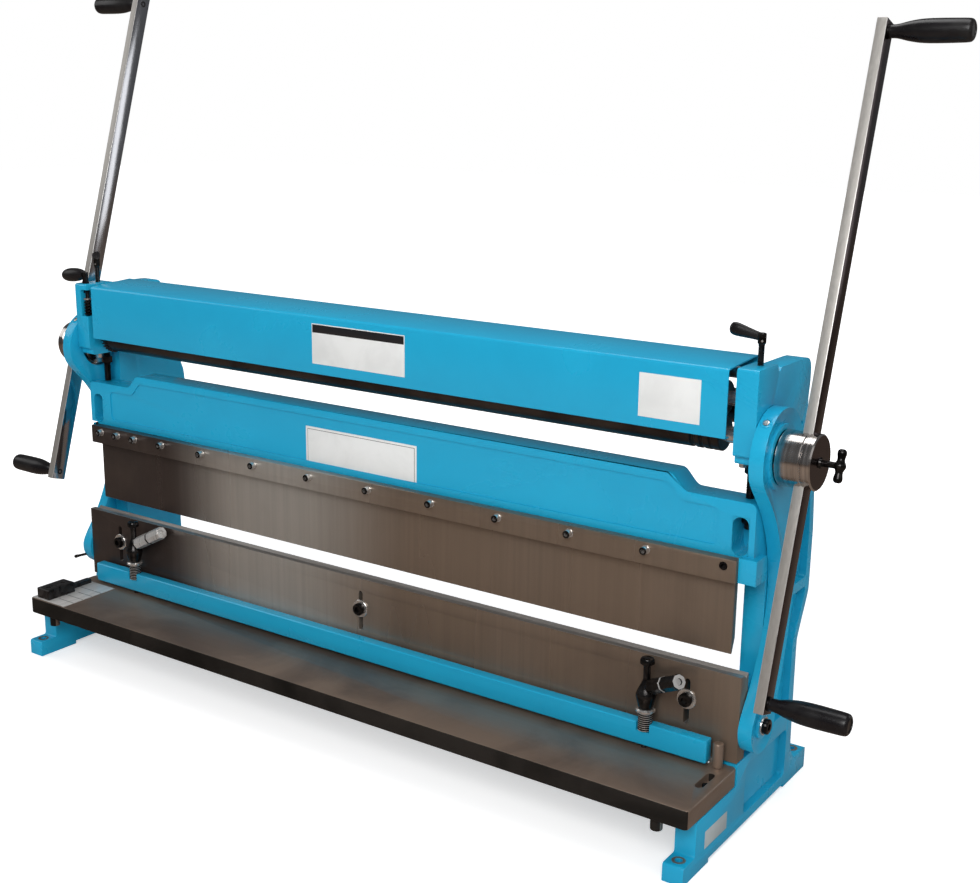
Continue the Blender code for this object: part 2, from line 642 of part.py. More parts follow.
def frame_outline():
    pad_end = PAD_FRONT_Y + PAD_LENGTH
    pad_top = PAD_FRONT_Y + FRONT_PAD_TOP_LENGTH
    return filleted([
        (PAD_FRONT_Y, 0, 0),
        (PAD_FRONT_Y, FRONT_PAD_HEIGHT, FRAME_SMALL_FILLET),
        (pad_top, FRONT_PAD_HEIGHT, FRAME_SMALL_FILLET),
        (pad_top, RAIL_TOP_Z, 0),
        (LUG_FRONT_Y, RAIL_TOP_Z, 0),
        (LUG_FRONT_Y, LUG_TOP_Z, FRAME_SMALL_FILLET),
        (COLUMN_FRONT_Y, LUG_TOP_Z, FRAME_SMALL_FILLET),
        (COLUMN_FRONT_Y, BLOCK_STEP_Z, FRAME_SMALL_FILLET),
        (BLOCK_STEP_Y, BLOCK_STEP_Z, FRAME_SMALL_FILLET),
        (BLOCK_STEP_Y, BLOCK_BOTTOM_Z, 0),
        (0, BLOCK_BOTTOM_Z, FRAME_SMALL_FILLET),
        (0, BLOCK_TOP_Z, FRAME_SMALL_FILLET),
        (BLOCK_DEPTH, BLOCK_TOP_Z, FRAME_SMALL_FILLET),
        (HEAD_DIP_Y, HEAD_TOP_Z - HEAD_DIP, FRAME_SMALL_FILLET),
        (HEAD_DIP_Y + HEAD_DIP, HEAD_TOP_Z, FRAME_SMALL_FILLET),
        (HEAD_BACK_Y, HEAD_TOP_Z, FRAME_LARGE_FILLET),
        (HEAD_BACK_Y, HEAD_BACK_Z, FRAME_FILLET),
        (BACK_NECK_Y, BACK_NECK_Z, FRAME_LARGE_FILLET),
        *back_edge(0)[::-1],
        (BACK_FOOT_Y, REAR_PAD_HEIGHT + FRAME_LARGE_FILLET, FRAME_FILLET),
        (BACK_FOOT_Y + FRAME_FLANGE, REAR_PAD_HEIGHT, FRAME_FILLET),
        (REAR_PAD_END_Y, REAR_PAD_HEIGHT, FRAME_SMALL_FILLET),
        (REAR_PAD_END_Y, 0, 0),
        (REAR_PAD_START_Y, 0, 0),
        (REAR_PAD_START_Y, PAD_CLEARANCE_UNDER_RAIL, 0),
        (pad_end, PAD_CLEARANCE_UNDER_RAIL, 0),
        (pad_end, 0, 0),
    ])


def frame_pockets():
    """The sunk panels of the outer face: below the rib, above it, in the rail and in the head."""
    front = COLUMN_FRONT_Y + FRAME_FLANGE
    half_rib = FRAME_FLANGE / 2
    low_z = LUG_TOP_Z + FRAME_FLANGE
    waist, bulge_low, bulge_high, shoulder = back_edge(FRAME_FLANGE)
    below = [
        (front, low_z, FRAME_FILLET),
        (waist[0], low_z, FRAME_FILLET),
        waist,
        (bulge_low[0], bulge_low[1], FRAME_FILLET),
        (bulge_low[0], FRAME_RIB_Z - half_rib, FRAME_FILLET),
        (front, FRAME_RIB_Z - half_rib, FRAME_FILLET),
    ]
    above = [
        (front, FRAME_RIB_Z + half_rib, FRAME_FILLET),
        (bulge_high[0], FRAME_RIB_Z + half_rib, FRAME_FILLET),
        bulge_high,
        shoulder,
        (BACK_NECK_Y - FRAME_FLANGE, BLOCK_STEP_Z + half_rib, FRAME_FILLET),
        (front, BLOCK_STEP_Z + half_rib, FRAME_FILLET),
    ]
    rail = [
        (RAIL_RIB_Y, PAD_CLEARANCE_UNDER_RAIL + FRAME_FLANGE, FRAME_FILLET),
        (REAR_PAD_START_Y, PAD_CLEARANCE_UNDER_RAIL + FRAME_FLANGE, FRAME_FILLET),
        (REAR_PAD_START_Y, LUG_TOP_Z - FRAME_FLANGE, FRAME_FILLET),
        (RAIL_RIB_Y, LUG_TOP_Z - FRAME_FLANGE, FRAME_FILLET),
    ]
    return [filleted(corners) for corners in (below, above, rail)]


def end_frame(name, side):
    inner = side * FRAME_INNER_X
    outer = side * FRAME_OUTER_X
    panel = side * (FRAME_OUTER_X - FRAME_POCKET_DEPTH)
    beyond = side * (FRAME_OUTER_X + CUT_OVERRUN)
    before = side * (FRAME_INNER_X - CUT_OVERRUN)
    blind = side * (FRAME_INNER_X + BLIND_BEARING_DEPTH)
    tenon = side * (FRAME_INNER_X + TIE_TENON_LENGTH + SEAT_GAP)
    frame = finish(name, prism("X", frame_outline(), inner, outer), BLUE)
    for pocket in frame_pockets():
        cut(frame, prism("X", pocket, panel, beyond))
    half_slot = BEARING_SLOT_WIDTH / 2
    slot_low, slot_high = sorted((before, side * (FRAME_INNER_X + BEARING_SLOT_DEPTH)))
    cut(frame,
        rod("X", (ROLL_Y, LOWER_ROLL_Z), before, beyond, LOWER_JOURNAL_RADIUS + SEAT_GAP),
        rod("X", (REAR_ROLL_Y, REAR_ROLL_Z), before, blind, REAR_JOURNAL_RADIUS + SEAT_GAP),
        rod("X", (TIE_Y, TIE_Z), before, tenon, TIE_TENON_RADIUS + SEAT_GAP, SMALL_SEGMENTS),
        rod("X", (REAR_TIE_Y, REAR_TIE_Z), before, tenon, TIE_TENON_RADIUS + SEAT_GAP, SMALL_SEGMENTS),
        rod("X", (BACK_NECK_Y - BACK_HOLE_INSET, LOWER_ROLL_Z), side * (FRAME_OUTER_X - BACK_HOLE_DEPTH),
            beyond, BACK_HOLE_RADIUS, SMALL_SEGMENTS),
        block((slot_low, ROLL_Y - half_slot, BEARING_SLOT_BOTTOM_Z),
              (slot_high, ROLL_Y + half_slot, BEARING_SLOT_TOP_Z)),
        rod("Z", (side * SCREW_X, ROLL_Y), BEARING_SLOT_TOP_Z - CUT_OVERRUN, BLOCK_TOP_Z + CUT_OVERRUN,
            SCREW_RADIUS + SEAT_GAP, SMALL_SEGMENTS),
        rod("Z", (side * STUD_X, STUD_Y), BLOCK_STEP_Z - CUT_OVERRUN,
            BLOCK_STEP_Z + STUD_SINK_IN_BLOCK + SEAT_GAP, STUD_RADIUS + SEAT_GAP, SMALL_SEGMENTS))
    if side < 0:
        cut(frame, rod("Z", (side * SCREW_X, RELEASE_Y), BLOCK_TOP_Z - RELEASE_HOLE_DEPTH - SEAT_GAP,
                       BLOCK_TOP_Z + CUT_OVERRUN, SCREW_RADIUS + SEAT_GAP, SMALL_SEGMENTS))
    middle_x = side * (FRAME_INNER_X + FRAME_THICKNESS / 2)
    front_hole_y = PAD_FRONT_Y + FRONT_PAD_TOP_LENGTH / 2
    rear_hole_y = REAR_PAD_END_Y - FRONT_PAD_TOP_LENGTH / 2
    for hole_y in (front_hole_y, rear_hole_y):
        cut(frame, rod("Z", (middle_x, hole_y), -CUT_OVERRUN, REAR_PAD_HEIGHT + CUT_OVERRUN,
                       PAD_HOLE_RADIUS, SMALL_SEGMENTS))
    return frame


def tie_bar(name, centre, radius):
    shoulder = FRAME_INNER_X - SEAT_GAP
    tip = FRAME_INNER_X + TIE_TENON_LENGTH
    profile = [(-tip, TIE_TENON_RADIUS), (-shoulder, TIE_TENON_RADIUS), (-shoulder, radius),
               (shoulder, radius), (shoulder, TIE_TENON_RADIUS), (tip, TIE_TENON_RADIUS)]
    finish(name, revolve("X", centre, profile, SMALL_SEGMENTS), BRIGHT_STEEL)


# Rolls, gears and bearing blocks
def roll_profile(journal_radius, journal_end, stub=False, wires=False):
    """Journal, gear seat, roll barrel and, at the right, the wire grooves and collar."""
    profile = []
    if stub:
        stub_end = ARM_INNER_X + SHAFT_STUB_LENGTH
        profile += [(-stub_end, SHAFT_STUB_RADIUS), (-journal_end, SHAFT_STUB_RADIUS)]
    profile += [(-journal_end, journal_radius), (-ROLL_HALF_LENGTH, journal_radius),
                (-ROLL_HALF_LENGTH, ROLL_RADIUS)]
    if wires:
        start = ROLL_HALF_LENGTH - WIRE_GROOVE_PITCH * (len(WIRE_GROOVE_DEPTHS) + 1)
        for i, depth in enumerate(WIRE_GROOVE_DEPTHS):
            middle = start + WIRE_GROOVE_PITCH * (i + 1)
            profile += [(middle - depth, ROLL_RADIUS), (middle, ROLL_RADIUS - depth),
                        (middle + depth, ROLL_RADIUS)]
    profile += [(ROLL_HALF_LENGTH, ROLL_RADIUS), (ROLL_HALF_LENGTH, journal_radius),
                (journal_end, journal_radius)]
    if stub:
        profile += [(journal_end, SHAFT_STUB_RADIUS), (stub_end, SHAFT_STUB_RADIUS)]
    return profile


def involute(angle):
    return tan(angle) - angle


def gear(name, centre, gap_angle, carrier, bore):
    """A spur gear with involute flanks, drawn with a gap at the given angle."""
    base = GEAR_RADIUS * cos(radians(20))
    root = GEAR_RADIUS - GEAR_DEDENDUM
    tip = GEAR_RADIUS + GEAR_ADDENDUM
    half_tooth = pi / (2 * GEAR_TEETH) - GEAR_BACKLASH / (2 * GEAR_RADIUS)
    flank = []
    for radius in (root, GEAR_RADIUS, tip):
        turn = half_tooth + involute(radians(20)) - involute(acos(min(1, base / radius)))
        flank.append((radius, turn))
    outline = []
    for tooth in range(GEAR_TEETH):
        middle = gap_angle + 2 * pi * (tooth + 0.5) / GEAR_TEETH
        for radius, turn in [(r, -t) for r, t in flank] + flank[::-1]:
            angle = middle + turn
            outline.append((centre[0] + radius * cos(angle), centre[1] + radius * sin(angle)))
    end = -ROLL_HALF_LENGTH - SEAT_GAP
    wheel = finish(name, prism("X", outline, end - GEAR_WIDTH, end), BLACK_STEEL, carrier)
    start = end - GEAR_WIDTH
    cut(wheel, rod("X", centre, start - CUT_OVERRUN, end + CUT_OVERRUN, bore + SEAT_GAP))


def rolls():
    drive = anchor("drive_axis", ROLL_Y, LOWER_ROLL_Z, parent=DATUM)
    upper = anchor("upper_roll_axis", ROLL_Y, UPPER_ROLL_Z, parent=DATUM)
    rear = anchor("rear_roll_axis", REAR_ROLL_Y, REAR_ROLL_Z, parent=DATUM)
    lower_centre = (ROLL_Y, LOWER_ROLL_Z)
    upper_centre = (ROLL_Y, UPPER_ROLL_Z)
    finish("lower_roll", revolve("X", lower_centre, roll_profile(
        LOWER_JOURNAL_RADIUS, FRAME_OUTER_X + SEAT_GAP, stub=True, wires=True)), BRIGHT_STEEL, drive)
    blind = FRAME_INNER_X + BLIND_BEARING_DEPTH - SEAT_GAP
    finish("upper_roll", revolve("X", upper_centre, roll_profile(UPPER_JOURNAL_RADIUS, blind)),
           BRIGHT_STEEL, upper)
    finish("rear_roll", revolve("X", (REAR_ROLL_Y, REAR_ROLL_Z),
                                roll_profile(REAR_JOURNAL_RADIUS, blind)), BRIGHT_STEEL, rear)
    half_pitch = pi / GEAR_TEETH
    gear("lower_gear", lower_centre, pi / 2 + half_pitch, drive, LOWER_JOURNAL_RADIUS)
    gear("upper_gear", upper_centre, -pi / 2, upper, UPPER_JOURNAL_RADIUS)
    return drive


def bearing_block(name, side):
    inner = side * (FRAME_INNER_X + SEAT_GAP)
    outer = side * (FRAME_INNER_X + BEARING_SLOT_DEPTH - SEAT_GAP)
    half = BEARING_SLOT_WIDTH / 2 - SEAT_GAP
    low, high = sorted((inner, outer))
    top = BEARING_BLOCK_BOTTOM_Z + BEARING_BLOCK_HEIGHT
    piece = finish(name, block((low, ROLL_Y - half, BEARING_BLOCK_BOTTOM_Z), (high, ROLL_Y + half, top)),
                   BLACK_STEEL)
    bore_end = side * (FRAME_INNER_X + BLIND_BEARING_DEPTH)
    cut(piece, rod("X", (ROLL_Y, UPPER_ROLL_Z), side * (FRAME_INNER_X - CUT_OVERRUN), bore_end,
                   UPPER_JOURNAL_RADIUS + SEAT_GAP))


# Levers on the head blocks
def grip_profile(start, length, radius, core_radius, core_length):
    """A tapered grip whose open end slips over its lever's core."""
    return [
        (core_length, 0),
        (core_length, core_radius + SEAT_GAP),
        (start, core_radius + SEAT_GAP),
        (start, radius * grip_end_share),
        (start + length * grip_shoulder_share, radius),
        (start + length * grip_dome_share, radius),
        (start + length, radius * grip_tip_share),
        (start + length, 0),
    ]


def roll_screw(word, side, swing):
    """The screw that presses a bearing block, and the lever that turns it."""
    axis = anchor("roll_screw_" + word + "_axis", ROLL_Y, BLOCK_TOP_Z, side * SCREW_X, DATUM)
    centre = (side * SCREW_X, ROLL_Y)
    collar_top = SCREW_BOTTOM_Z + SCREW_COLLAR_HEIGHT
    head_bottom = SCREW_TOP_Z - 2 * SCREW_HEAD_RADIUS
    stem = finish("roll_screw_" + word, revolve("Z", centre, [
        (SCREW_BOTTOM_Z, SCREW_COLLAR_RADIUS), (collar_top, SCREW_COLLAR_RADIUS), (collar_top, SCREW_RADIUS),
        (head_bottom, SCREW_RADIUS), (head_bottom, SCREW_HEAD_RADIUS), (SCREW_TOP_Z, SCREW_HEAD_RADIUS),
    ], SMALL_SEGMENTS), BLACK_STEEL, axis)
    origin = Vector((centre[0], centre[1], SCREW_TOP_Z - SCREW_HEAD_RADIUS))
    direction = Vector((SCREW_LEVER_LENGTH * cos(swing), SCREW_LEVER_LENGTH * sin(swing),
                        SCREW_LEVER_RISE)).normalized()
    join(stem, turned_to(rod("Z", (0, 0), 0, LEVER_CORE_LENGTH, LEVER_CORE_RADIUS, SMALL_SEGMENTS),
                         origin, direction))
    start = SCREW_HEAD_RADIUS + 2 * SLIDE_GAP
    finish("roll_lever_" + word, turned_to(revolve("Z", (0, 0), grip_profile(
        start, SCREW_LEVER_LENGTH - start, SCREW_LEVER_RADIUS, LEVER_CORE_RADIUS,
        LEVER_CORE_LENGTH + SEAT_GAP), SMALL_SEGMENTS), origin, direction), BLACK_PLASTIC, axis)


def release_lever():
    axis = anchor("release_axis", RELEASE_Y, BLOCK_TOP_Z, -SCREW_X, DATUM)
    centre = (-SCREW_X, RELEASE_Y)
    stem = finish("release_stem", rod("Z", centre, BLOCK_TOP_Z - RELEASE_HOLE_DEPTH,
                                      RELEASE_AXIS_Z + LEVER_CORE_RADIUS, SCREW_RADIUS, SMALL_SEGMENTS),
                  BLACK_STEEL, axis)
    direction = Vector((-RELEASE_REACH, 0, -RELEASE_DROOP)).normalized()
    origin = Vector((centre[0], centre[1], RELEASE_AXIS_Z))
    join(stem, turned_to(rod("Z", (0, 0), 0, LEVER_CORE_LENGTH, LEVER_CORE_RADIUS, SMALL_SEGMENTS),
                         origin, direction))
    start = SCREW_RADIUS + 2 * SLIDE_GAP
    finish("release_grip", turned_to(revolve("Z", (0, 0), grip_profile(
        start, RELEASE_REACH - start, RELEASE_GRIP_RADIUS, LEVER_CORE_RADIUS,
        LEVER_CORE_LENGTH + SEAT_GAP), SMALL_SEGMENTS), origin, direction), BLACK_PLASTIC, axis)


# Roll guard
def guard_top_z(y):
    """Height of the guard's outer skin above a place on its sloping top."""
    return GUARD_TOP_FRONT_Z + (GUARD_TOP_BACK_Z - GUARD_TOP_FRONT_Z) * y / GUARD_BACK_Y


def roll_guard():
    t = GUARD_SHEET
    inner_radius = GUARD_BEND_RADIUS - t
    outline = filleted([
        (GUARD_RETURN, GUARD_BOTTOM_Z, 0),
        (0, GUARD_BOTTOM_Z, t),
        (0, GUARD_TOP_FRONT_Z, GUARD_BEND_RADIUS),
        (GUARD_BACK_Y, GUARD_TOP_BACK_Z, GUARD_BEND_RADIUS),
        (GUARD_BACK_Y, GUARD_TOP_BACK_Z - GUARD_BACK_FLANGE, 0),
        (GUARD_BACK_Y - t, GUARD_TOP_BACK_Z - GUARD_BACK_FLANGE, 0),
        (GUARD_BACK_Y - t, guard_top_z(GUARD_BACK_Y) - t, inner_radius),
        (t, guard_top_z(0) - t, inner_radius),
        (t, GUARD_BOTTOM_Z + t, 0),
        (GUARD_RETURN, GUARD_BOTTOM_Z + t, 0),
    ])
    guard = finish("roll_guard", prism("X", outline, -GUARD_HALF_LENGTH, GUARD_HALF_LENGTH), BLUE)
    half = GUARD_BRACKET_WIDTH / 2
    low = TIE_Z - half
    outline = [(TIE_Y - half, low), (TIE_Y + half, low), (TIE_Y + half, guard_top_z(TIE_Y + half) - t / 2),
               (TIE_Y - half, guard_top_z(TIE_Y - half) - t / 2)]
    for x in (-GUARD_BRACKET_X, GUARD_BRACKET_X):
        join(guard, prism("X", outline, x - t, x + t))
        cut(guard, rod("X", (TIE_Y, TIE_Z), x - CUT_OVERRUN, x + CUT_OVERRUN, TIE_RADIUS + SEAT_GAP,
                       SMALL_SEGMENTS))


# Table with its fixed blade, gauge and scale
def table():
    seat_back = LUG_FRONT_Y - SEAT_GAP
    blade_front = FIXED_BLADE_BACK_Y - FIXED_BLADE_DEPTH - SEAT_GAP
    inner = BLADE_HALF_LENGTH + 2 * TABLE_EDGE_BEVEL
    r = TABLE_CORNER_RADIUS
    half = TABLE_HALF_LENGTH
    outline = filleted([
        (-half, TABLE_FRONT_Y, r), (half, TABLE_FRONT_Y, r), (half, seat_back, r), (inner, seat_back, 0),
        (inner, blade_front, 0), (-inner, blade_front, 0), (-inner, seat_back, 0), (-half, seat_back, r),
    ])
    top = finish("table", prism("Z", outline, RAIL_TOP_Z + SEAT_GAP, TABLE_TOP_Z), TABLE_STEEL,
                 bevel=TABLE_EDGE_BEVEL)
    for x in (-TABLE_BOSS_X, TABLE_BOSS_X):
        join(top, rod("Z", (x, TABLE_BOSS_Y), RAIL_TOP_Z - TABLE_BOSS_DROP, TABLE_TOP_Z - TABLE_SLOT_DEPTH,
                      TABLE_BOSS_RADIUS, SMALL_SEGMENTS))
    w = TABLE_SLOT_WIDTH / 2
    slot = (arc((TABLE_SLOT_X, TABLE_SLOT_END_Y - w), w, 0, pi, pi / 4)
            + arc((TABLE_SLOT_X, TABLE_SLOT_START_Y + w), w, pi, 2 * pi, pi / 4))
    cut(top, prism("Z", slot, TABLE_TOP_Z - TABLE_SLOT_DEPTH, TABLE_TOP_Z + CUT_OVERRUN))
    for x in (-CLAMP_X, CLAMP_X):
        cut(top, rod("Z", (x, CLAMP_Y), TABLE_TOP_Z - CLAMP_STUD_SINK - SEAT_GAP, TABLE_TOP_Z + CUT_OVERRUN,
                     CLAMP_STUD_RADIUS + SEAT_GAP, SMALL_SEGMENTS))
    low = (-BLADE_HALF_LENGTH, FIXED_BLADE_BACK_Y - FIXED_BLADE_DEPTH, TABLE_TOP_Z - FIXED_BLADE_HEIGHT)
    finish("fixed_blade", block(low, (BLADE_HALF_LENGTH, FIXED_BLADE_BACK_Y, TABLE_TOP_Z)), BRIGHT_STEEL)


def gauge():
    scale_bottom = TABLE_TOP_Z + SEAT_GAP
    scale_top = scale_bottom + SCALE_THICKNESS
    finish("scale_strip", block((-SCALE_OUTER_X, GAUGE_FRONT_Y, scale_bottom),
                                (-SCALE_OUTER_X + SCALE_LENGTH, SCALE_BACK_Y, scale_top)), BRIGHT_STEEL)
    bottom = scale_top + SEAT_GAP
    back = GAUGE_FRONT_Y + GAUGE_LENGTH
    inner = -GAUGE_OUTER_X + GAUGE_WIDTH
    front = GAUGE_FRONT_Y + 2 * TABLE_EDGE_BEVEL
    shape = block((-GAUGE_OUTER_X, front, bottom), (inner, back, bottom + GAUGE_HEIGHT))
    body = finish("gauge_block", shape, BLACK_STEEL, bevel=TABLE_EDGE_BEVEL)
    arm_outer = -GAUGE_OUTER_X + GAUGE_ARM_WIDTH / 2
    join(body, block((arm_outer, back - CUT_OVERRUN, bottom),
                     (arm_outer + GAUGE_ARM_WIDTH, back + GAUGE_ARM_LENGTH, bottom + GAUGE_ARM_HEIGHT)))
    middle = (-GAUGE_OUTER_X + GAUGE_WIDTH / 2, GAUGE_FRONT_Y + GAUGE_LENGTH / 2)
    for offset in (-GAUGE_HOLE_PITCH / 2, GAUGE_HOLE_PITCH / 2):
        cut(body, rod("Z", (middle[0], middle[1] + offset), bottom + GAUGE_HEIGHT / 2,
                      bottom + GAUGE_HEIGHT + CUT_OVERRUN, GAUGE_HOLE_RADIUS, SMALL_SEGMENTS))


# Hold-down bar with its two clamps
def hold_down():
    slide = anchor("hold_down_slide", parent=DATUM)
    half = HOLD_HALF_LENGTH
    shape = block((-half, HOLD_FRONT_Y, HOLD_BOTTOM_Z), (half, HOLD_BACK_Y, HOLD_TOP_Z))
    bar = finish("hold_down_bar", shape, BLUE, slide, bevel=HOLD_BEVEL)
    for word, side, swing in (("left", -1, CLAMP_LEVER_SWING_LEFT), ("right", 1, CLAMP_LEVER_SWING_RIGHT)):
        centre = (side * CLAMP_X, CLAMP_Y)
        cut(bar, rod("Z", centre, HOLD_BOTTOM_Z - CUT_OVERRUN, HOLD_TOP_Z + CUT_OVERRUN,
                     CLAMP_STUD_RADIUS + SEAT_GAP, SMALL_SEGMENTS),
            block((centre[0] - CLAMP_SLEEVE_RADIUS - SEAT_GAP, HOLD_FRONT_Y - CUT_OVERRUN,
                   CLAMP_SLEEVE_BOTTOM_Z - SEAT_GAP),
                  (centre[0] + CLAMP_SLEEVE_RADIUS + SEAT_GAP, CLAMP_Y + CLAMP_SLEEVE_RADIUS + SEAT_GAP,
                   HOLD_TOP_Z + CUT_OVERRUN)))
        finish("clamp_stud_" + word, rod("Z", centre, TABLE_TOP_Z - CLAMP_STUD_SINK, CLAMP_STUD_TOP_Z,
                                         CLAMP_STUD_RADIUS, SMALL_SEGMENTS), BLACK_STEEL)
        clamp(word, centre, swing, slide)


def clamp(word, centre, swing, slide):
    """Ribbed sleeve and washer on the bar, and the nut with its cap and side lever above them."""
    bore = CLAMP_STUD_RADIUS + SEAT_GAP
    washer_bottom = CLAMP_SLEEVE_TOP_Z + SEAT_GAP
    washer_top = washer_bottom + CLAMP_WASHER_HEIGHT
    rib = (CLAMP_SLEEVE_TOP_Z - CLAMP_SLEEVE_BOTTOM_Z) / CLAMP_RIBS
    outer = [(CLAMP_SLEEVE_BOTTOM_Z, CLAMP_SLEEVE_RADIUS - CLAMP_RIB_DEPTH)]
    for i in range(CLAMP_RIBS):
        low = CLAMP_SLEEVE_BOTTOM_Z + rib * i
        outer += [(low + rib / 2, CLAMP_SLEEVE_RADIUS), (low + rib, CLAMP_SLEEVE_RADIUS - CLAMP_RIB_DEPTH)]
    shape = revolve("Z", centre, outer, SMALL_SEGMENTS)
    sleeve = finish("clamp_sleeve_" + word, shape, BLACK_STEEL, slide)
    cut(sleeve, rod("Z", centre, CLAMP_SLEEVE_BOTTOM_Z - CUT_OVERRUN, washer_bottom, bore, SMALL_SEGMENTS))
    shape = rod("Z", centre, washer_bottom, washer_top, CLAMP_WASHER_RADIUS)
    washer = finish("clamp_washer_" + word, shape, BRIGHT_STEEL, slide)
    cut(washer, rod("Z", centre, CLAMP_SLEEVE_TOP_Z, washer_top + CUT_OVERRUN, bore, SMALL_SEGMENTS))
    axis = anchor("clamp_" + word + "_axis", CLAMP_Y, washer_top, centre[0], slide)
    bottom = washer_top + SEAT_GAP
    swell_start, swell_end = (bottom + CLAMP_BODY_HEIGHT * share for share in clamp_swell_shares)
    body = finish("clamp_body_" + word, revolve("Z", centre, [
        (bottom, CLAMP_BODY_RADIUS * clamp_foot_share), (swell_start, CLAMP_BODY_RADIUS),
        (swell_end, CLAMP_BODY_RADIUS), (bottom + CLAMP_BODY_HEIGHT, CLAMP_NECK_RADIUS),
        (CLAMP_CAP_BOTTOM_Z, CLAMP_NECK_RADIUS), (CLAMP_CAP_BOTTOM_Z, CLAMP_CAP_RADIUS * grip_tip_share),
        (CLAMP_CAP_BOTTOM_Z + CLAMP_RIB_DEPTH, CLAMP_CAP_RADIUS),
        (CLAMP_CAP_TOP_Z - CLAMP_CAP_RADIUS / 2, CLAMP_CAP_RADIUS), (CLAMP_CAP_TOP_Z, CLAMP_CAP_RADIUS / 2),
    ], SMALL_SEGMENTS), BLACK_STEEL, axis)
    bore_top = CLAMP_STUD_TOP_Z + HOLD_TRAVEL + 2 * SLIDE_GAP
    cut(body, rod("Z", centre, bottom - CUT_OVERRUN, bore_top, bore, SMALL_SEGMENTS))
    flat = cos(CLAMP_LEVER_TILT)
    direction = Vector((flat * cos(swing), flat * sin(swing), sin(CLAMP_LEVER_TILT)))
    origin = Vector((*centre, bottom + CLAMP_LEVER_RISE))
    join(body, turned_to(rod("Z", (0, 0), 0, CLAMP_LEVER_CORE_LENGTH, LEVER_CORE_RADIUS, SMALL_SEGMENTS),
                         origin, direction))
    finish("clamp_lever_" + word, turned_to(revolve("Z", (0, 0), clamp_lever_profile(), SMALL_SEGMENTS),
                                            origin, direction), BRIGHT_STEEL, axis)


def clamp_lever_profile():
    """A chamfered round bar with a groove round its middle and a blind bore for the core."""
    start = CLAMP_LEVER_START
    end = start + CLAMP_LEVER_LENGTH
    middle = (start + end) / 2
    bore_end = CLAMP_LEVER_CORE_LENGTH + SEAT_GAP
    bore = LEVER_CORE_RADIUS + SEAT_GAP
    r = CLAMP_LEVER_RADIUS
    c = CLAMP_LEVER_CHAMFER
    g = CLAMP_LEVER_GROOVE
    return [
        (bore_end, 0), (bore_end, bore), (start, bore), (start, r - c), (start + c, r), (middle - g, r),
        (middle, r - g), (middle + g, r), (end - c, r), (end, r - c), (end, 0),
    ]


# Bottom ram
def bottom_ram():
    ram = anchor("lower_ram_slide", parent=DATUM)
    vee = [(PLATE_FRONT_Y, PLATE_BOTTOM_Z), (PLATE_BACK_Y, PLATE_BOTTOM_Z), (PLATE_BACK_Y, PLATE_TOP_Z),
           (VEE_Y + VEE_HALF_WIDTH, PLATE_TOP_Z), (VEE_Y, PLATE_TOP_Z - VEE_DEPTH),
           (VEE_Y - VEE_HALF_WIDTH, PLATE_TOP_Z), (PLATE_FRONT_Y, PLATE_TOP_Z)]
    shape = prism("X", vee, -PLATE_HALF_LENGTH, PLATE_HALF_LENGTH)
    plate = finish("bending_plate", shape, BROWN_STEEL, ram, smooth=False)
    half = BEAM_HALF_LENGTH
    shape = block((-half, BEAM_FRONT_Y, BEAM_BOTTOM_Z), (half, BEAM_BACK_Y, BEAM_TOP_Z))
    beam = finish("lower_beam", shape, BLUE, ram, bevel=HOLD_BEVEL)
    for side, word in ((-1, "left"), (1, "right")):
        near, far = sorted((side * GUIDE_INNER_X, side * BEAM_HALF_LENGTH))
        join(beam, block((near, BEAM_BACK_Y - CUT_OVERRUN, BEAM_BOTTOM_Z + FRAME_SMALL_FILLET),
                         (far, GUIDE_BACK_Y, BEAM_TOP_Z - FRAME_SMALL_FILLET)))
        link_pin(word, side, beam, ram)
    w = PLATE_SLOT_WIDTH / 2
    for word, x in (("left", -PLATE_SLOT_X), ("middle", PLATE_SLOT_CENTRE_X), ("right", PLATE_SLOT_X)):
        slot = [(x + a, b) for a, b in arc((0, PLATE_SLOT_TOP_Z - w), w, 0, pi, pi / 4)
                + arc((0, PLATE_SLOT_BOTTOM_Z + w), w, pi, 2 * pi, pi / 4)]
        cut(plate, prism("Y", slot, PLATE_FRONT_Y - CUT_OVERRUN, PLATE_BACK_Y + CUT_OVERRUN))
        plate_screw(word, x, beam, ram)
    front = FIXED_BLADE_BACK_Y + BLADE_CLEARANCE
    top = PLATE_BOTTOM_Z - SEAT_GAP
    half = BLADE_HALF_LENGTH
    outline = [(-half, top), (half, top), (half, top - MOVING_BLADE_DROP_RIGHT),
               (-half, top - MOVING_BLADE_DROP_LEFT)]
    finish("moving_blade", prism("Y", outline, front, front + MOVING_BLADE_THICKNESS), BRIGHT_STEEL, ram,
           smooth=False)


def plate_screw(word, x, beam, ram):
    """A button screw and washer, one turned piece, holding the bending plate through its slot."""
    seat = PLATE_FRONT_Y - SEAT_GAP
    tip = BEAM_FRONT_Y + PLATE_SCREW_SINK
    head = seat - PLATE_WASHER_HEIGHT
    finish("plate_screw_" + word, revolve("Y", (x, PLATE_SCREW_Z), [
        (tip, PLATE_SCREW_RADIUS), (seat, PLATE_SCREW_RADIUS), (seat, PLATE_WASHER_RADIUS),
        (head, PLATE_WASHER_RADIUS), (head, PLATE_SCREW_HEAD_RADIUS),
        (head - PLATE_SCREW_HEAD_HEIGHT / 2, PLATE_SCREW_HEAD_RADIUS),
        (head - PLATE_SCREW_HEAD_HEIGHT, PLATE_SCREW_HEAD_RADIUS / 2),
    ], SMALL_SEGMENTS), BLACK_STEEL, ram)
    cut(beam, rod("Y", (x, PLATE_SCREW_Z), BEAM_FRONT_Y - CUT_OVERRUN, tip + SEAT_GAP,
                  PLATE_SCREW_RADIUS + SEAT_GAP, SMALL_SEGMENTS))


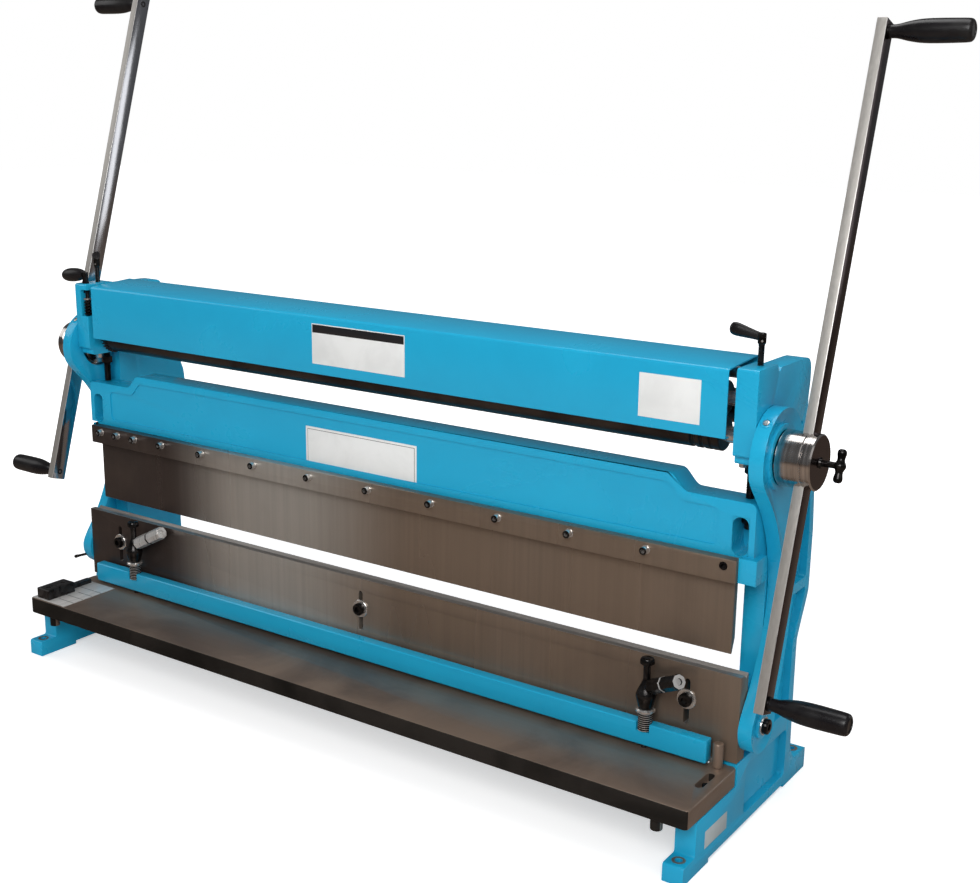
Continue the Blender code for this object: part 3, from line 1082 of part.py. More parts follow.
def link_pin(word, side, beam, ram):
    """The bolt that each link arm turns on, sunk in the beam's end."""
    inner = side * (BEAM_HALF_LENGTH - LINK_PIN_SINK)
    seat = side * (ARM_OUTER_X + SLIDE_GAP)
    end = side * (ARM_OUTER_X + SLIDE_GAP + LINK_PIN_HEAD_HEIGHT)
    centre = (LINK_PIN_Y, LINK_PIN_Z)
    cut(beam, rod("X", centre, side * (BEAM_HALF_LENGTH - LINK_PIN_SINK - SEAT_GAP),
                  side * (BEAM_HALF_LENGTH + CUT_OVERRUN), LINK_PIN_RADIUS + SEAT_GAP, SMALL_SEGMENTS))
    pin = finish("link_pin_" + word, rod("X", centre, inner, side * (ARM_OUTER_X + 2 * SLIDE_GAP),
                                         LINK_PIN_RADIUS, SMALL_SEGMENTS), BLACK_STEEL, ram)
    join(pin, prism("X", hexagon(centre, 2 * LINK_PIN_HEAD_RADIUS * cos(pi / 6)), seat, end))


# Upper ram
def ram_outline(margin, half_length, bottom):
    """The ram's front outline, its crown raised between two rounded steps."""
    top = RAM_CROWN_Z - margin
    shoulder = RAM_SHOULDER_Z - margin
    crown = RAM_CROWN_HALF_LENGTH - margin / 2
    foot = crown + RAM_STEP_RUN
    r = RAM_CORNER_RADIUS
    return filleted([
        (-half_length, bottom, 0 if margin == 0 else r), (half_length, bottom, 0 if margin == 0 else r),
        (half_length, shoulder, r), (foot, shoulder, RAM_STEP_RADIUS), (crown, top, RAM_STEP_RADIUS),
        (-crown, top, RAM_STEP_RADIUS), (-foot, shoulder, RAM_STEP_RADIUS), (-half_length, shoulder, r),
    ])


def upper_ram():
    slide = anchor("upper_ram_slide", parent=DATUM)
    outline = ram_outline(0, RAM_HALF_LENGTH, RAM_BOTTOM_Z)
    ram = finish("upper_ram", prism("Y", outline, RAM_FRONT_Y, RAM_BACK_Y), BLUE, slide)
    half_rebate = STRIP_HALF_LENGTH + 2 * SEAT_GAP
    cut(ram, block((-half_rebate, RAM_FRONT_Y - CUT_OVERRUN, RAM_BOTTOM_Z - CUT_OVERRUN),
                   (half_rebate, REBATE_BACK_Y, RAM_REBATE_TOP_Z)))
    panel_bottom = RAM_REBATE_TOP_Z + RAM_PANEL_MARGIN
    cut(ram, prism("Y", ram_outline(RAM_PANEL_MARGIN, RAM_PANEL_HALF_LENGTH, panel_bottom),
                   RAM_FRONT_Y - CUT_OVERRUN, RAM_FRONT_Y + RAM_PANEL_DEPTH))
    pitch = 2 * RAM_PANEL_HALF_LENGTH / RAM_POCKETS
    pocket_top = RAM_SHOULDER_Z - RAM_PANEL_MARGIN
    for i in range(RAM_POCKETS):
        low_x = -RAM_PANEL_HALF_LENGTH + pitch * i + RAM_POCKET_RIB / 2
        high_x = low_x + pitch - RAM_POCKET_RIB
        r = RAM_CORNER_RADIUS
        outline = filleted([(low_x, panel_bottom, r), (high_x, panel_bottom, r), (high_x, pocket_top, r),
                            (low_x, pocket_top, r)])
        cut(ram, prism("Y", outline, RAM_BACK_Y - RAM_POCKET_DEPTH, RAM_BACK_Y + CUT_OVERRUN))
    for side, word in ((-1, "left"), (1, "right")):
        ram_end(ram, side)
        ram_stud(word, side, slide)
    clamp_strip(slide)
    punch(slide)


def ram_end(ram, side):
    """Guide pad, foot, nut window and stud bore at one end of the ram."""
    inner, outer = sorted((side * (STRIP_HALF_LENGTH + 2 * SEAT_GAP), side * FOOT_OUTER_X))
    join(ram, block((inner, FOOT_FRONT_Y, RAM_BOTTOM_Z), (outer, FOOT_BACK_Y, FOOT_TOP_Z)))
    inner, outer = sorted((side * GUIDE_INNER_X, side * RAM_HALF_LENGTH))
    join(ram, block((inner, RAM_BACK_Y - CUT_OVERRUN, RAM_BOTTOM_Z + FRAME_SMALL_FILLET),
                    (outer, GUIDE_BACK_Y, RAM_SHOULDER_Z - RAM_CORNER_RADIUS)))
    inner, outer = sorted((side * WINDOW_INNER_X, side * WINDOW_OUTER_X))
    r = WINDOW_FILLET
    window = filleted([(inner, WINDOW_BOTTOM_Z, r), (outer, WINDOW_BOTTOM_Z, r), (outer, WINDOW_TOP_Z, r),
                       (inner, WINDOW_TOP_Z, r)])
    cut(ram, prism("Y", window, RAM_FRONT_Y - CUT_OVERRUN, RAM_BACK_Y - WINDOW_BACK_WALL),
        rod("Z", (side * STUD_X, STUD_Y), WINDOW_TOP_Z - CUT_OVERRUN, RAM_SHOULDER_Z + CUT_OVERRUN,
            STUD_RADIUS + SEAT_GAP, SMALL_SEGMENTS))


def ram_stud(word, side, slide):
    centre = (side * STUD_X, STUD_Y)
    stud = finish("ram_stud_" + word, rod("Z", centre, STUD_BOTTOM_Z, BLOCK_STEP_Z + STUD_SINK_IN_BLOCK,
                                          STUD_RADIUS, SMALL_SEGMENTS), BLACK_STEEL)
    collar_top = STUD_COLLAR_Z + STUD_COLLAR_HEIGHT
    join(stud, prism("Z", hexagon(centre, NUT_ACROSS_FLATS), STUD_COLLAR_Z, collar_top))
    top = WINDOW_TOP_Z - SEAT_GAP
    nut = finish("ram_nut_" + word, prism("Z", hexagon(centre, NUT_ACROSS_FLATS), top - NUT_HEIGHT, top),
                 BRIGHT_STEEL, slide)
    cut(nut, rod("Z", centre, top - NUT_HEIGHT - CUT_OVERRUN, top + CUT_OVERRUN, STUD_RADIUS + SEAT_GAP,
                 SMALL_SEGMENTS))


def clamp_strip(slide):
    """The strip that holds the punch plate, with its screws closer together towards the left."""
    half = STRIP_HALF_LENGTH
    shape = block((-half, STRIP_FRONT_Y, RAM_BOTTOM_Z), (half, STRIP_BACK_Y, STRIP_TOP_Z))
    strip = finish("clamp_strip", shape, BROWN_STEEL, slide, smooth=False)
    z = STRIP_TOP_Z - STRIP_BOLT_DROP
    places = [half - STRIP_FIRST_BOLT_INSET - STRIP_BOLT_PITCH * i for i in range(STRIP_BOLTS)]
    places += [-half + inset for inset in STRIP_CLOSE_BOLT_INSETS]
    for x in places:
        join(strip, rod("Y", (x, z), STRIP_FRONT_Y - STRIP_BOLT_HEIGHT, STRIP_FRONT_Y + CUT_OVERRUN,
                        STRIP_BOLT_RADIUS, SMALL_SEGMENTS))
    cut(strip, rod("Y", (half - STRIP_END_HOLE_INSET, z), STRIP_FRONT_Y - CUT_OVERRUN,
                   STRIP_FRONT_Y + STRIP_THICKNESS / 2, STRIP_BOLT_RADIUS, SMALL_SEGMENTS))


def punch(slide):
    top = RAM_REBATE_TOP_Z - SEAT_GAP
    front = PUNCH_FRONT_Y
    back = PUNCH_BACK_Y
    outline = [(front, PUNCH_BOTTOM_Z), (front + PUNCH_EDGE_WIDTH, PUNCH_BOTTOM_Z),
               (back, PUNCH_BOTTOM_Z + PUNCH_TAPER_HEIGHT), (back, top), (front, top)]
    finish("punch_plate", prism("X", outline, -PUNCH_HALF_LENGTH, PUNCH_HALF_LENGTH), BROWN_STEEL, slide,
           smooth=False)


# Link arms
def link_arm(word, side):
    pivot = anchor("link_pivot_" + word, LINK_PIN_Y, LINK_PIN_Z, parent=bpy.data.objects["lower_ram_slide"])
    hub = (HUB_Y, HUB_Z)
    pin = (LINK_PIN_Y, LINK_PIN_Z)
    front_angle = pi + asin(eye_front_share)
    back_angle = -asin(eye_back_share)
    over_eye = arc(hub, ARM_EYE_RADIUS, front_angle, back_angle, ARC_STEP / 2)
    under_foot = arc(pin, ARM_FOOT_RADIUS, asin(foot_back_share), -pi - asin(foot_front_share), ARC_STEP)
    third = (HUB_Z - LINK_PIN_Z) / 3
    high = HUB_Z - third
    low = LINK_PIN_Z + third
    back = bezier(over_eye[-1], (ARM_BACK_BOW_Y, high), (ARM_BACK_BOW_Y, low), under_foot[0],
                  ARM_SIDE_STEPS)
    front = bezier(under_foot[-1], (ARM_FRONT_BOW_Y, low), (ARM_FRONT_BOW_Y, high), over_eye[0],
                   ARM_SIDE_STEPS)
    shape = prism("X", over_eye + back + under_foot + front, side * ARM_INNER_X, side * ARM_OUTER_X)
    outer = max(shape.faces, key=lambda face: side * face.calc_center_median().x)
    bmesh.ops.recalc_face_normals(shape, faces=shape.faces[:])
    bmesh.ops.inset_region(shape, faces=[outer], thickness=ARM_RIM_WIDTH, depth=-ARM_POCKET_DEPTH,
                           use_even_offset=True)
    arm = finish("link_arm_" + word, shape, BLUE, pivot)
    web = side * (ARM_OUTER_X - 2 * ARM_POCKET_DEPTH)
    outside = side * ARM_OUTER_X
    join(arm, rod("X", hub, web, outside, ARM_EYE_BOSS_RADIUS, FINE_SEGMENTS),
         rod("X", pin, web, outside, ARM_FOOT_BOSS_RADIUS))
    before = side * (ARM_INNER_X - CUT_OVERRUN)
    beyond = side * (ARM_OUTER_X + CUT_OVERRUN)
    cut(arm, rod("X", hub, before, beyond, ARM_EYE_BORE_RADIUS, FINE_SEGMENTS),
        rod("X", pin, before, beyond, LINK_PIN_RADIUS + SEAT_GAP, SMALL_SEGMENTS))


# Hubs with their eccentric sheaves, handle bars and grips
def hub(word, side, drive):
    centre = (HUB_Y, HUB_Z)
    c = HUB_CHAMFER
    groove = HUB_RADIUS - HUB_STEP_DEPTH
    profile = [
        (side * ARM_INNER_X, SHEAVE_RADIUS), (side * HUB_INNER_X, SHEAVE_RADIUS),
        (side * HUB_INNER_X, HUB_RADIUS - c),
        (side * (HUB_INNER_X + c), HUB_RADIUS), (side * HUB_STEP_X, HUB_RADIUS),
        (side * HUB_STEP_X, groove), (side * (HUB_STEP_X + c), groove),
        (side * (HUB_STEP_X + c), HUB_RADIUS), (side * (HUB_OUTER_X - c), HUB_RADIUS),
        (side * HUB_OUTER_X, HUB_RADIUS - c),
    ]
    body = finish("hub_" + word, revolve("X", centre, profile, FINE_SEGMENTS), BRIGHT_STEEL, drive)
    stub_end = side * (ARM_INNER_X + SHAFT_STUB_LENGTH + SEAT_GAP)
    cut(body,
        rod("X", (ROLL_Y, LOWER_ROLL_Z), side * (ARM_INNER_X - CUT_OVERRUN), stub_end,
            SHAFT_STUB_RADIUS + SEAT_GAP, SMALL_SEGMENTS),
        bar_shape(side, 2 * HUB_RADIUS, 2 * HUB_RADIUS, SEAT_GAP),
        rod("X", centre, side * BAR_X, side * (HUB_OUTER_X + CUT_OVERRUN), HUB_SCREW_RADIUS + SEAT_GAP,
            SMALL_SEGMENTS))
    hub_screw(word, side, drive)


def bar_shape(side, below, above, gap):
    half_x = BAR_THICKNESS / 2 + gap
    half_w = BAR_WIDTH / 2 + gap
    shape = block((-half_x, -half_w, -below), (half_x, half_w, above))
    return turned_to(shape, Vector((side * BAR_X, HUB_Y, HUB_Z)), BAR_DIRECTION)


def hub_screw(word, side, drive):
    start = side * (BAR_X + BAR_THICKNESS / 2 + 2 * SEAT_GAP)
    end = side * (HUB_OUTER_X + HUB_SCREW_REACH)
    shape = rod("X", (HUB_Y, HUB_Z), start, end, HUB_SCREW_RADIUS, SMALL_SEGMENTS)
    screw = finish("hub_screw_" + word, shape, BLACK_STEEL, drive)
    half = HUB_TEE_LENGTH / 2
    join(screw, turned_to(revolve("Z", (0, 0), [
        (-half, HUB_TEE_RADIUS / 2), (-half + HUB_TEE_RADIUS / 2, HUB_TEE_RADIUS),
        (half - HUB_TEE_RADIUS / 2, HUB_TEE_RADIUS), (half, HUB_TEE_RADIUS / 2),
    ], SMALL_SEGMENTS), Vector((end, HUB_Y, HUB_Z)), BAR_DIRECTION))


def handle_bar(word, side, drive):
    slide = anchor("handle_slide_" + word, HUB_Y - ROLL_Y, HUB_Z - LOWER_ROLL_Z, side * BAR_X, drive)
    shift = LEFT_BAR_SHIFT if side < 0 else 0
    below = BAR_LENGTH_BELOW - shift
    above = BAR_LENGTH_ABOVE + shift
    finish("handle_bar_" + word, bar_shape(side, below, above, 0), CHROME, slide, smooth=False)
    start = BAR_X + BAR_THICKNESS / 2 + SEAT_GAP
    for end, along in (("low", -below + GRIP_INSET), ("high", above - GRIP_INSET)):
        centre = Vector((0, HUB_Y, HUB_Z)) + BAR_DIRECTION * along
        profile = [(side * (start + GRIP_LENGTH * share), GRIP_RADIUS * swell)
                   for share, swell in zip(grip_length_shares, grip_swell_shares)]
        finish("grip_" + word + "_" + end, revolve("X", (centre.y, centre.z), profile), BLACK_PLASTIC, slide)


end_frame("frame_left", -1)
end_frame("frame_right", 1)
tie_bar("tie_bar_rolls", (TIE_Y, TIE_Z), TIE_RADIUS)
tie_bar("tie_bar_rear", (REAR_TIE_Y, REAR_TIE_Z), REAR_TIE_RADIUS)
DRIVE = rolls()
bearing_block("bearing_block_left", -1)
bearing_block("bearing_block_right", 1)
roll_screw("left", -1, SCREW_LEVER_SWING_LEFT)
roll_screw("right", 1, SCREW_LEVER_SWING_RIGHT)
release_lever()
roll_guard()
table()
gauge()
hold_down()
bottom_ram()
upper_ram()
for SIDE, WORD in ((-1, "left"), (1, "right")):
    link_arm(WORD, SIDE)
    hub(WORD, SIDE, DRIVE)
    handle_bar(WORD, SIDE, DRIVE)
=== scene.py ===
# Dressed sheet metal combination machine: shear, press brake and slip rolls in one bench frame.
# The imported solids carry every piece; here they get rounded edges, fasteners, threads and finishes.

from math import cos, radians, sin, sqrt, tan

import bpy
from mathutils import Matrix, Vector

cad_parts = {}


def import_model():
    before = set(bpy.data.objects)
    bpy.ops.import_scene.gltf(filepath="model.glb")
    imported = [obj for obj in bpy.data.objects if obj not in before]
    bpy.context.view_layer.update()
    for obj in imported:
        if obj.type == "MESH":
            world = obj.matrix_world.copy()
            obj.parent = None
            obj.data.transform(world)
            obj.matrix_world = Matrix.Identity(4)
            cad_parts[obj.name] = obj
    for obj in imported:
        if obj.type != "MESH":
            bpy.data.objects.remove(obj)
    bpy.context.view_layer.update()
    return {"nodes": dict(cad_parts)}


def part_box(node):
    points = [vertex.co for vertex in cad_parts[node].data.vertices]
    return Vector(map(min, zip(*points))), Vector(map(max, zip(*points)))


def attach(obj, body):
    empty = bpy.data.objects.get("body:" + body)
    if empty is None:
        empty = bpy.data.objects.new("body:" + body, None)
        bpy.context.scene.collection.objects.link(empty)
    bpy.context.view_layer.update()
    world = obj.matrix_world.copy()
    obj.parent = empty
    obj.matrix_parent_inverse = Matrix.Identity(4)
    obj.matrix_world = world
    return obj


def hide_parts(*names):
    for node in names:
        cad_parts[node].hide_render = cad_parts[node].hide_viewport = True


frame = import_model()
NODES = frame["nodes"]
MM = 0.001

# Sides of the machine, and the plane of the roll guard's front, from which places in Y are measured
SIDES = (("left", -1), ("right", 1))
FRONT_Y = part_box("roll_guard")[0].y

# Cap screw heads: radius, height and width of the hexagon socket
STRIP_SCREW = (6.0 * MM, 10.0 * MM, 6.0 * MM)
SLOT_SCREW = (10.5 * MM, 7.5 * MM, 10.0 * MM)
TABLE_SCREW = (5.6 * MM, 5.0 * MM, 5.0 * MM)
BAR_SCREW = (6.0 * MM, 3.0 * MM, 5.0 * MM)
ARM_SCREW = (4.8 * MM, 2.6 * MM, 4.0 * MM)

# Threads: radius, pitch and depth
CLAMP_THREAD = (11.0 * MM, 3.4 * MM, 1.4 * MM)
STUD_THREAD = (6.5 * MM, 2.4 * MM, 0.8 * MM)
SCREW_THREAD = (4.5 * MM, 1.8 * MM, 0.5 * MM)

# Clamp strip and its screws
STRIP_THICKNESS = 16.7 * MM
STRIP_EDGE = 0.6 * MM
STRIP_SCREW_DROP = 11.0 * MM
STRIP_SCREW_PITCH = 131.0 * MM
STRIP_SCREWS = 8
STRIP_FIRST_INSET = 143.0 * MM
STRIP_CLOSE_INSETS = (29.0 * MM, 75.0 * MM, 123.0 * MM, 197.0 * MM)
STRIP_WASHER_HEIGHT = 1.2 * MM
STRIP_WELL_INSET = 20.0 * MM
STRIP_WELL_RADIUS = 6.6 * MM
STRIP_WELL_DEPTH = 9.0 * MM

# Washers under the screws in the bending plate's slots
SLOT_WASHER_RADIUS = 15.5 * MM
SLOT_WASHER_HEIGHT = 2.5 * MM
SLOT_WASHER_CHAMFER = 0.6 * MM

# Clamps on the hold-down bar
CLAMP_FOOT_RADIUS = 10.5 * MM
CLAMP_BULB_RADIUS = 15.5 * MM
CLAMP_BULB_RISE = 19.0 * MM
CLAMP_NECK_RADIUS = 5.5 * MM
CLAMP_CAP_RADIUS = 11.0 * MM
CLAMP_CAP_HEIGHT = 11.0 * MM
CLAMP_LEVER_RISE = 32.0 * MM
CLAMP_LEVER_START = 14.0 * MM
CLAMP_LEVER_LENGTH = 76.0 * MM
CLAMP_LEVER_RADIUS = 12.0 * MM
CLAMP_LEVER_FLATS = 8
CLAMP_GROOVE_HALF = 1.8 * MM
CLAMP_LEVER_BOSS_RADIUS = 9.5 * MM

# Studs and nuts of the upper ram
STUD_COLLAR_HEIGHT = 12.0 * MM
STUD_COLLAR_TOP_DROP = 18.0 * MM
NUT_ACROSS = 18.0 * MM

# Hubs, their clamp screws and the handle bars
SHEAVE_LENGTH = 21.9 * MM
SHEAVE_RADIUS = 34.0 * MM
HUB_RADIUS = 40.0 * MM
HUB_CHAMFER = 2.0 * MM
HUB_SIDES = 96
HUB_RING_INSET = 18.0 * MM
HUB_RING_WIDTH = 1.6 * MM
HUB_RING_DEPTH = 1.2 * MM
BAR_FIT = 0.4 * MM
TEE_STEM_RADIUS = 4.6 * MM
TEE_COLLAR_RADIUS = 8.0 * MM
TEE_COLLAR_HEIGHT = 3.0 * MM
TEE_RADIUS = 6.5 * MM
TEE_BALL_RADIUS = 8.5 * MM
TEE_HALF_LENGTH = 23.5 * MM
BAR_SCREW_STAND = 0.6 * MM
GRIP_RADIUS = 16.5 * MM

# Link arms
ARM_EDGE = 1.4 * MM
ARM_EYE_RADIUS = 70.0 * MM
ARM_SEAT_SUNK = 1.5 * MM
ARM_SCREW_ANGLE = radians(38.0)
ARM_SCREW_RING_RADIUS = 7.4 * MM
LINK_SHANK_RADIUS = 7.0 * MM
LINK_WASHER_RADIUS = 14.0 * MM
LINK_WASHER_HEIGHT = 1.8 * MM
LINK_HEAD_RADIUS = 11.5 * MM
LINK_HEAD_KEY = 10.0 * MM

# Rolls and tie bars
BARREL_HALF_LENGTH = 637.0 * MM
BARREL_RADIUS = 25.0 * MM
BARREL_CHAMFER = 1.2 * MM
WIRE_GROOVES = ((595.0 * MM, 4.0 * MM), (609.0 * MM, 3.2 * MM), (623.0 * MM, 2.4 * MM))
STUB_START = 699.8 * MM
ROLL_SIDES = 72
LOWER_JOURNAL_RADIUS = 12.0 * MM
LOWER_STUB_RADIUS = 8.0 * MM
PLAIN_ROLLS = (("upper_roll", 10.0 * MM), ("rear_roll", 9.0 * MM))
TIE_BARS = (("tie_bar_rolls", 8.0 * MM), ("tie_bar_rear", 13.0 * MM))
TIE_BAR_TENON_RADIUS = 5.0 * MM
TIE_BAR_GAP = 0.3 * MM

# Roll screws and the release lever
SCREW_SHANK_DROP = 14.0 * MM
SCREW_THREAD_TOP_DROP = 19.0 * MM
SCREW_HEAD_RADIUS = 6.0 * MM
SCREW_PIN_DROP = 10.5 * MM
SCREW_PIN_RADIUS = 1.5 * MM
SCREW_PIN_DIRECTION = (0.45, -1, 0)
LEVER_RADIUS = 9.5 * MM
LEVER_FLATTENING = 0.62
RELEASE_GRIP_RADIUS = 13.0 * MM

# Colours, as linear values; tones are a dark and a light one
SKY_BLUE = (0.013, 0.385, 0.620)
SKY_BLUE_DEEP = (0.009, 0.335, 0.560)
# The next two plate colours are painted light: a dark reflection, then a bright sheen
PLATE_PAINTED_DARK_REFLECTION = (0.060, 0.045, 0.040)
PLATE_PAINTED_SHEEN = (0.440, 0.410, 0.370)
PLATE_BROWN = (0.230, 0.172, 0.128)
PLATE_STAIN = (0.130, 0.100, 0.080)
TABLE_TONES = ((0.185, 0.136, 0.108), (0.300, 0.222, 0.170))
STEEL_TONES = ((0.46, 0.44, 0.42), (0.86, 0.84, 0.81))
# Hub tones: turning rings whose strong light and dark contrast is partly painted sheen and painted shade
HUB_RING_AND_SHEEN_TONES = ((0.05, 0.04, 0.035), (1.0, 0.95, 0.91))
BAR_TONES = ((0.34, 0.32, 0.295), (0.54, 0.52, 0.49))
CHROME_TONES = ((0.46, 0.46, 0.49), (0.66, 0.68, 0.72))
RUBBED_TONES = ((0.22, 0.19, 0.165), (0.56, 0.53, 0.50))
SHADED_TONES = ((0.030, 0.018, 0.021), (0.085, 0.058, 0.062))
ROLL_TONES = ((0.036, 0.028, 0.025), (0.085, 0.068, 0.058))
OXIDE_TONES = ((0.012, 0.011, 0.011), (0.050, 0.047, 0.046))
EDGE_TONES = ((0.007, 0.006, 0.005), (0.022, 0.018, 0.015))
PLASTIC_BLACK = (0.006, 0.005, 0.006)
LABEL_WHITE = (0.80, 0.80, 0.78)
LABEL_GREY = (0.46, 0.50, 0.50)
LABEL_BLACK = (0.012, 0.012, 0.014)


# Shader nodes and groups
def add_node(tree, kind, inputs=None, **settings):
    """Adds a shader node, whose inputs take plain values or other nodes' outputs."""
    made = tree.nodes.new(kind)
    for name, value in settings.items():
        setattr(made, name, value)
    for name, value in (inputs or {}).items():
        if isinstance(value, bpy.types.NodeSocket):
            tree.links.new(value, made.inputs[name])
        else:
            made.inputs[name].default_value = value
    return made


def shader_group(name, output, **inputs):
    """A group with its named inputs and its output, and the place on the piece that it works from."""
    group = bpy.data.node_groups.new(name, "ShaderNodeTree")
    for label, value in inputs.items():
        kind = "NodeSocketVector" if isinstance(value, tuple) else "NodeSocketFloat"
        group.interface.new_socket(name=label, in_out="INPUT", socket_type=kind).default_value = value
    group.interface.new_socket(name=output, in_out="OUTPUT", socket_type="NodeSocketFloat")
    return group, add_node(group, "NodeGroupInput").outputs, place_on_piece(group)


def place_on_piece(tree):
    return add_node(tree, "ShaderNodeTexCoord").outputs["Object"]


def stretched(tree, place, stretch):
    return add_node(tree, "ShaderNodeVectorMath", {0: place, 1: stretch}, operation="MULTIPLY").outputs["Vector"]


def soft_step(tree, value, start, end, low=0.0, high=1.0):
    """A soft change from low to high while a value goes from start to end."""
    step = add_node(tree, "ShaderNodeMapRange", {"Value": value, "From Min": start, "From Max": end,
                                                 "To Min": low, "To Max": high}, interpolation_type="SMOOTHSTEP")
    return step.outputs["Result"]


def noise(tree, place, scale, detail, **more):
    made = add_node(tree, "ShaderNodeTexNoise", {"Vector": place, "Scale": scale, "Detail": detail, **more})
    return made.outputs["Fac"]


def make_streaks():
    """Fine lines drawn along one axis, as a grinding wheel or a lathe leaves them."""
    group, entry, place = shader_group("tool_streaks", "Streaks", Stretch=(1.0, 1.0, 1.0), Lines=100.0)
    lines = noise(group, stretched(group, place, entry["Stretch"]), entry["Lines"], 5.0, Roughness=0.62)
    add_node(group, "NodeGroupOutput", {"Streaks": lines})
    return group


def make_patches():
    """Soft uneven patches, for oil film, stains and a hand-sprayed coat."""
    group, entry, place = shader_group("uneven_patches", "Patches", Size=6.0, Low=0.35, High=0.65)
    cloud = noise(group, place, entry["Size"], 6.0, Roughness=0.58, Distortion=0.6)
    add_node(group, "NodeGroupOutput", {"Patches": soft_step(group, cloud, entry["Low"], entry["High"])})
    return group


def make_grain():
    """A fine even grain, such as the peel of sprayed paint or the skin of a casting."""
    group, entry, place = shader_group("surface_grain", "Height", Grains=400.0)
    add_node(group, "NodeGroupOutput", {"Height": noise(group, place, entry["Grains"], 3.0, Roughness=0.5)})
    return group


def make_bands():
    """Broad soft bands that run along one axis."""
    group, entry, place = shader_group("soft_bands", "Bands", Stretch=(1.0, 1.0, 1.0), Size=6.0)
    cloud = noise(group, stretched(group, place, entry["Stretch"]), entry["Size"], 1.0)
    add_node(group, "NodeGroupOutput", {"Bands": soft_step(group, cloud, 0.42, 0.66)})
    return group


STREAKS = make_streaks()
BANDS = make_bands()
PATCHES = make_patches()
GRAIN = make_grain()


# Materials
class Finish:
    """A material under construction, with its Principled shader at hand."""

    def __init__(self, name, metallic=0.0, roughness=0.4, coat=0.0, coat_roughness=0.05, shine=0.5):
        self.material = bpy.data.materials.new(name)
        self.material.use_nodes = True
        self.tree = self.material.node_tree
        self.shader = self.tree.nodes["Principled BSDF"]
        for label, value in (("Metallic", metallic), ("Roughness", roughness), ("Coat Weight", coat),
                             ("Coat Roughness", coat_roughness), ("Specular IOR Level", shine)):
            self.shader.inputs[label].default_value = value

    def mask(self, group, **values):
        """What one of the shader groups gives with these values."""
        return add_node(self.tree, "ShaderNodeGroup", values, node_tree=group).outputs[0]

    def colour(self, mask, below, above):
        """A colour over another by a mask. The one below may be another node's output."""
        if not isinstance(below, bpy.types.NodeSocket):
            below = (*below, 1)
        mix = add_node(self.tree, "ShaderNodeMix", {"Factor": mask, "A": below, "B": (*above, 1)},
                       data_type="RGBA")
        return mix.outputs["Result"]

    def fade_along_x(self, start, end):
        split = add_node(self.tree, "ShaderNodeSeparateXYZ", {"Vector": place_on_piece(self.tree)})
        return soft_step(self.tree, split.outputs["X"], start, end)

    def level(self, mask, low, high):
        spread = add_node(self.tree, "ShaderNodeMapRange", {"Value": mask, "To Min": low, "To Max": high})
        return spread.outputs["Result"]

    def shaded(self, mask, colour, low, high):
        scale = add_node(self.tree, "ShaderNodeVectorMath",
                         {0: colour, "Scale": self.level(mask, low, high)}, operation="SCALE")
        return scale.outputs["Vector"]

    def paint(self, colour, mask, smooth, dull):
        """Gives the surface its colour, and a roughness that follows a mask."""
        self.tree.links.new(colour, self.shader.inputs["Base Color"])
        self.tree.links.new(self.level(mask, smooth, dull), self.shader.inputs["Roughness"])

    def bump(self, height, strength, distance):
        bump = add_node(self.tree, "ShaderNodeBump",
                        {"Height": height, "Strength": strength, "Distance": distance})
        self.tree.links.new(bump.outputs["Normal"], self.shader.inputs["Normal"])


def sky_blue_paint(name, grains, peel):
    finish = Finish(name, roughness=0.25, coat=0.30, shine=0.30)
    cloud = finish.mask(PATCHES, Size=4.0, Low=0.25, High=0.80)
    finish.paint(finish.colour(cloud, SKY_BLUE, SKY_BLUE_DEEP), cloud, 0.24, 0.34)
    finish.bump(finish.mask(GRAIN, Grains=grains), peel, 0.0006)
    return finish.material


# Tone along the ground plates: a painted dark reflection at the machine's left end, then a band of painted sheen,
# then brown
DARK_REFLECTION_FADE = (-490.0 * MM, -290.0 * MM)
BROWN_FADE = (-200.0 * MM, 110.0 * MM)


def ground_plate():
    """Plate ground upright, with a painted dark reflection at one end, a band of painted sheen beside it and a brown
    film on the rest.
    """
    finish = Finish("ground_plate_steel", metallic=0.62)
    lines = finish.mask(STREAKS, Stretch=(1.0, 1.0, 0.02), Lines=110.0)
    bands = finish.mask(BANDS, Stretch=(1.0, 1.0, 0.10), Size=7.0)
    stain = finish.mask(PATCHES, Size=2.6, Low=0.48, High=0.86)
    # Painted dark reflection at the left end, fading into a band of painted sheen
    painted_reflection = finish.colour(finish.fade_along_x(*DARK_REFLECTION_FADE), PLATE_PAINTED_DARK_REFLECTION, PLATE_PAINTED_SHEEN)
    brown = finish.colour(finish.fade_along_x(*BROWN_FADE), painted_reflection, PLATE_BROWN)
    base = finish.shaded(lines, brown, 0.82, 1.18)
    finish.paint(finish.colour(stain, base, PLATE_STAIN), bands, 0.42, 0.26)
    finish.bump(lines, 0.03, 0.0004)
    return finish.material


def brushed(name, stretch, lines, tones, metallic, smooth, dull, shine=0.5):
    """Oiled steel ground along one axis, with a patchy film."""
    finish = Finish(name, metallic=metallic, shine=shine)
    marks = finish.mask(STREAKS, Stretch=stretch, Lines=lines)
    film = finish.mask(PATCHES, Size=4.5, Low=0.38, High=0.66)
    finish.paint(finish.colour(film, *tones), marks, smooth, dull)
    finish.bump(marks, 0.04, 0.0004)
    return finish.material


def turned_steel(name, stretch, tones, smooth, dull, metallic=0.85):
    finish = Finish(name, metallic=metallic)
    lines = finish.mask(STREAKS, Stretch=stretch, Lines=260.0)
    finish.paint(finish.colour(lines, *tones), lines, smooth, dull)
    finish.bump(lines, 0.06, 0.0002)
    return finish.material


def black_oxide(name, metallic, smooth, dull):
    finish = Finish(name, metallic=metallic)
    rub = finish.mask(PATCHES, Size=60.0, Low=0.35, High=0.72)
    finish.paint(finish.colour(rub, *OXIDE_TONES), rub, smooth, dull)
    finish.bump(finish.mask(GRAIN, Grains=900.0), 0.08, 0.0003)
    return finish.material


